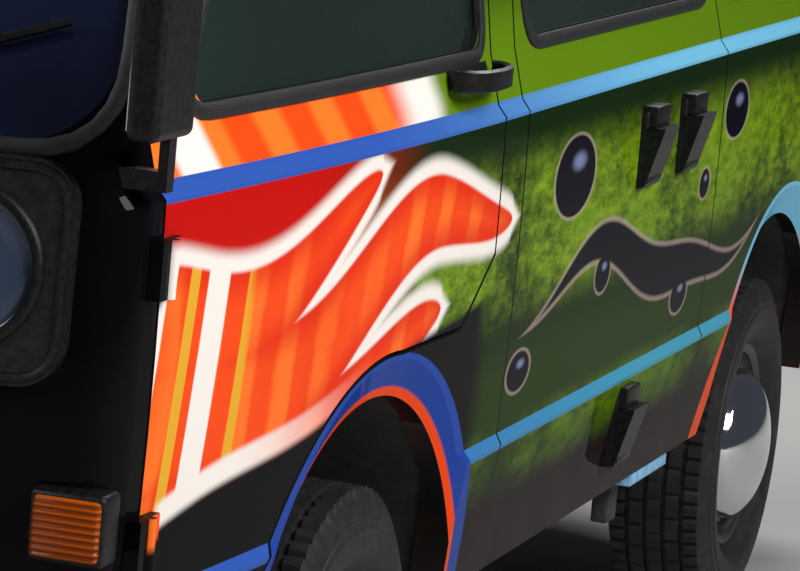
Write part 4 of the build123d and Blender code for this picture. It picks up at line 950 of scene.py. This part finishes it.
# Tail lamps: amber over red over a clear strip, in a dark surround
TAIL_X = -2.2275
TAIL_PARTS = (  # kind, inner and outer y, low and high z, how far proud, material and slot
    ("surround", 0.712, 0.832, 0.745, 0.940, 0.004, FITTING_BLACK, "red_lens"),
    ("amber", 0.719, 0.825, 0.888, 0.933, 0.010, AMBER, "lamp_glass"),
    ("red", 0.719, 0.825, 0.800, 0.884, 0.011, RED_LENS, "red_lens"),
    ("clear", 0.719, 0.825, 0.752, 0.796, 0.010, REVERSE_LENS, "lamp_glass"),
)
for name, side in SIDES:
    for kind, y_in, y_out, z_low, z_high, proud, material, slot in TAIL_PARTS:
        shape = side_block(side, (TAIL_X + 0.0225, y_in, z_low), (TAIL_X - proud, y_out, z_high), 0.004)
        lamp = piece(f"tail_{kind}_{name}", *shape, material, "body", slot)
        if kind == "surround" and side > 0:
            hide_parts("tail_lamps")

# Tailgate grip, exhaust pipe and the louvres that feed the engine
x = laid_spot(TAIL_TREE, TAIL, 0, 1.02)[0].x
grip = rounded_block((x - 0.016, -0.08, 1.005), (x + 0.012, 0.08, 1.035), 0.006)
piece("tailgate_grip", *grip, FITTING_BLACK, "tailgate", "fitting_black")
PIPE_LINE = ((-1.70, -0.30, 0.300), (-2.00, -0.42, 0.290), (-2.14, -0.46, 0.285), (-2.235, -0.47, 0.275))
pipe = swept(PIPE_LINE, ring(0.023, 14), False, (0, 0, 1))
piece("exhaust_pipe", *pipe, ENGINE_METAL, "body", "engine_metal", 60)
LOUVRE_ROWS = [1.215 + row * 0.038 for row in range(6)]
for name, side in SIDES:
    louvres = [slab((-2.055, -1.990), (z, z + 0.026), 0.0005, 0.006, (3, 2), side) for z in LOUVRE_ROWS]
    piece("air_louvres_" + name, *joined(*louvres), GRILLE_BLACK, "body", "grille_black")

# Trim inside the doors, with a pocket and an armrest
for name, side in SIDES:
    card = slab((0.870, 1.900), (0.940, 1.085), -0.052, 0.006, side=side)
    lower = slab((0.870, 1.120), (0.935, 1.086), -0.052, 0.010, (4, 3), side)
    rest = side_block(side, (1.150, 0.800, 0.985), (1.450, 0.850, 1.020), 0.010)
    piece("door_card_" + name, *joined(card, lower, rest), TRIM_CARD, "door_" + name, "cab_plastic")

# Steering wheel: a round rim on three spokes with a padded boss
AXIS = Vector((-0.53, 0, 0.848)).normalized()
MIDDLE = Vector((1.715, 0.4, 1.165))
LEFTWARD = Vector((0, 1, 0))
DOWNWARD = LEFTWARD.cross(AXIS)
RIM_R = 0.2135
SPOKE_SECTION = [(0.005, -0.016), (0.005, 0.016), (-0.005, 0.016), (-0.005, -0.016)]


def round_wheel(turn):
    """The direction from the steering wheel's middle at a turn."""
    return LEFTWARD * math.cos(turn) + DOWNWARD * math.sin(turn)


outs = [round_wheel(math.tau * step / 72) for step in range(72)]
wheel = swept([MIDDLE + out * RIM_R for out in outs], ring(0.0135, 10), True, outs)
spokes = []
for turn in (0.35, math.pi - 0.35, math.pi * 1.5):
    along = round_wheel(turn)
    line = [MIDDLE + along * out - AXIS * sunk for out, sunk in ((0.02, 0.012), (0.12, 0.008), (0.21, 0))]
    spokes.append(swept(line, SPOKE_SECTION, False, AXIS))
boss = spun([(-0.030, 0.0), (-0.030, 0.035), (-0.012, 0.055), (0.006, 0.056), (0.012, 0.045), (0.014, 0.0)],
            MIDDLE, AXIS, 28)
column = spun([(-0.34, 0.0), (-0.34, 0.022), (-0.03, 0.022), (-0.03, 0.0)], MIDDLE, AXIS, 20)
whole = joined(wheel, *spokes, boss, column)
steering = piece("steering_rim", *whole, CAB_PLASTIC, "steering_wheel", "cab_plastic")
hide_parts("steering_wheel")

# Two round gauges under the hood, and three air vents
VENT_ROWS = [1.040 + row * 0.011 for row in range(5)]
for name, y in (("speed", 0.45), ("clock", 0.35)):
    bezel = spun([(-0.006, 0.0), (-0.001, 0.040), (0.004, 0.046), (0.006, 0.050), (0.0, 0.052)],
                 (1.828, y, 1.130), (-1, 0, 0), 28)
    piece("gauge_" + name, *bezel, TRIM_CARD, "body", "cab_plastic")
for name, y in (("left", 0.66), ("middle", 0.0), ("right", -0.60)):
    bars = [rounded_block((1.822, y - 0.055, z), (1.833, y + 0.055, z + 0.006), 0.002) for z in VENT_ROWS]
    piece("dash_vent_" + name, *joined(*bars), FITTING_BLACK, "body", "cab_plastic")


SEAT_LEAN = 0.18
CORNER_DRAW = 0.055
EDGE_DRAW = 0.035
CUSHION_CUTS = 19


def cushion(low, high, lean, channels):
    """A crowned cushion between two corners, with sewn channels, drawn in between its corners."""
    low, high = Vector(low), Vector(high)
    size, middle = high - low, (low + high) / 2
    thin = min(range(3), key=lambda axis: size[axis])
    shape = bmesh.new()
    bmesh.ops.create_cube(shape, size=2.0)
    bmesh.ops.subdivide_edges(shape, edges=shape.edges, cuts=CUSHION_CUTS, use_grid_fill=True)
    points = []
    for vert in shape.verts:
        x, y, z = vert.co
        rounding = 1 - CORNER_DRAW * (x ** 4 * y ** 4 + x ** 4 * z ** 4 + y ** 4 * z ** 4)
        pull = 1 - EDGE_DRAW * ((1 - x ** 2) * y ** 8 + (1 - y ** 2) * x ** 8)
        place = Vector((x * pull, y * pull, z)) * rounding
        long = x if thin == 2 else z
        channel = math.cos(y * math.pi * channels) ** 8
        place[thin] *= 0.90 + 0.10 * (1 - long ** 2) * (1 - y ** 2) - 0.05 * channel * (1 - long ** 6)
        spot = middle + Vector([place[axis] * size[axis] / 2 for axis in range(3)])
        spot.x -= (spot.z - low.z) * lean
        points.append(spot)
    faces = [[vert.index for vert in face.verts] for face in shape.faces]
    shape.free()
    return points, faces


def seat_pad(name, low, high, lean=0.0, channels=5):
    """A padded cushion or back in seat cloth."""
    pad = piece(name, *cushion(low, high, lean, channels), SEAT_CLOTH, "body", "seat_cloth", 60)
    return pad


# Front seats: a crowned cushion and a leaning back each; behind them a bench on its plinth
SEAT_Y = 0.430
SEAT_HALF = 0.239
BENCH_HALF = 0.599
for name, side in SIDES:
    low_y, high_y = side * SEAT_Y - SEAT_HALF, side * SEAT_Y + SEAT_HALF
    pad = seat_pad("seat_cushion_" + name, (1.046, low_y, 0.803), (1.544, high_y, 0.924))
    seat_pad("seat_back_" + name, (1.050, low_y, 0.905), (1.165, high_y, 1.478), SEAT_LEAN)
    if side > 0:
        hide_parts("seats")
plinth = rounded_block((-0.630, -0.598, 0.521), (-0.185, 0.598, 0.742), 0.010)
piece("bench_plinth", *plinth, TRIM_CARD, "body", "seat_cloth")
seat_pad("bench_cushion", (-0.648, -BENCH_HALF, 0.744), (-0.182, BENCH_HALF, 0.898), channels=9)
seat_pad("bench_back", (-0.650, -BENCH_HALF, 0.880), (-0.535, BENCH_HALF, 1.418), SEAT_LEAN, 9)

# Camera, lights and floor
CAMERA_PLACE = Vector((7.0247, 2.6225, 1.810))
CAMERA_LOOK = Vector((-0.9489, -0.2790, -0.1475))
CAMERA_ROLL = 0.09
CAMERA_LENS = 206.7
FLOOR_HALF = 9


def add_camera():
    """The photograph's camera: a long lens from ahead of the van's left side, rolled a little."""
    look = CAMERA_LOOK.normalized()
    right = look.cross(Vector((0, 0, 1))).normalized()
    up = right.cross(look)
    cos, sin = math.cos(CAMERA_ROLL), math.sin(CAMERA_ROLL)
    turned_right, turned_up = right * cos + up * sin, up * cos - right * sin
    data = bpy.data.cameras.new("camera")
    data.lens, data.sensor_width = CAMERA_LENS, 36
    data.clip_end = 100
    camera = linked("camera", data)
    turn = Matrix((turned_right, turned_up, -look)).transposed()
    camera.matrix_world = Matrix.Translation(CAMERA_PLACE) @ turn.to_4x4()
    bpy.context.scene.camera = camera


def add_light(name, place, target, power, width, height):
    """A soft box that points at a target."""
    data = bpy.data.lights.new(name, "AREA")
    data.shape, data.size, data.size_y = "RECTANGLE", width, height
    data.energy = power
    light = linked(name, data)
    light.location = place
    light.rotation_euler = (Vector(target) - Vector(place)).to_track_quat("-Z", "Y").to_euler()


def add_floor():
    """A plain pale floor."""
    finish = Finish("studio_floor", srgb(170, 168, 165), 0.8)
    finish.set("Base Color", finish.blend(finish.noise(0.8, 4), srgb(164, 162, 159), srgb(176, 174, 171)))
    mesh = bpy.data.meshes.new("floor")
    corners = [(x * FLOOR_HALF, y * FLOOR_HALF, 0) for x, y in ((-1, -1), (1, -1), (1, 1), (-1, 1))]
    mesh.from_pydata(corners, [], [(0, 1, 2, 3)])
    mesh.materials.append(finish.material)
    linked("floor", mesh)


add_camera()
add_floor()
add_light("key", (2.5, 5.6, 4.6), (0.2, 0.9, 0.8), 470, 4, 2.4)
add_light("front", (6.5, -3.5, 4.5), (2.0, 0, 1.0), 150, 3, 2)
add_light("rear", (-6.0, 0.5, 6.0), (-1.5, 0.0, 0.9), 300, 3, 2.4)
add_light("right", (0.5, -6.0, 4.6), (0.0, -0.9, 0.8), 440, 4, 2.4)
world = bpy.data.worlds.new("studio")
world.use_nodes = True
backdrop = world.node_tree.nodes["Background"]
backdrop.inputs["Color"].default_value = (0.30, 0.34, 0.40, 1)
backdrop.inputs["Strength"].default_value = 0.16
bpy.context.scene.world = world
bpy.context.scene.view_settings.view_transform = "Standard"
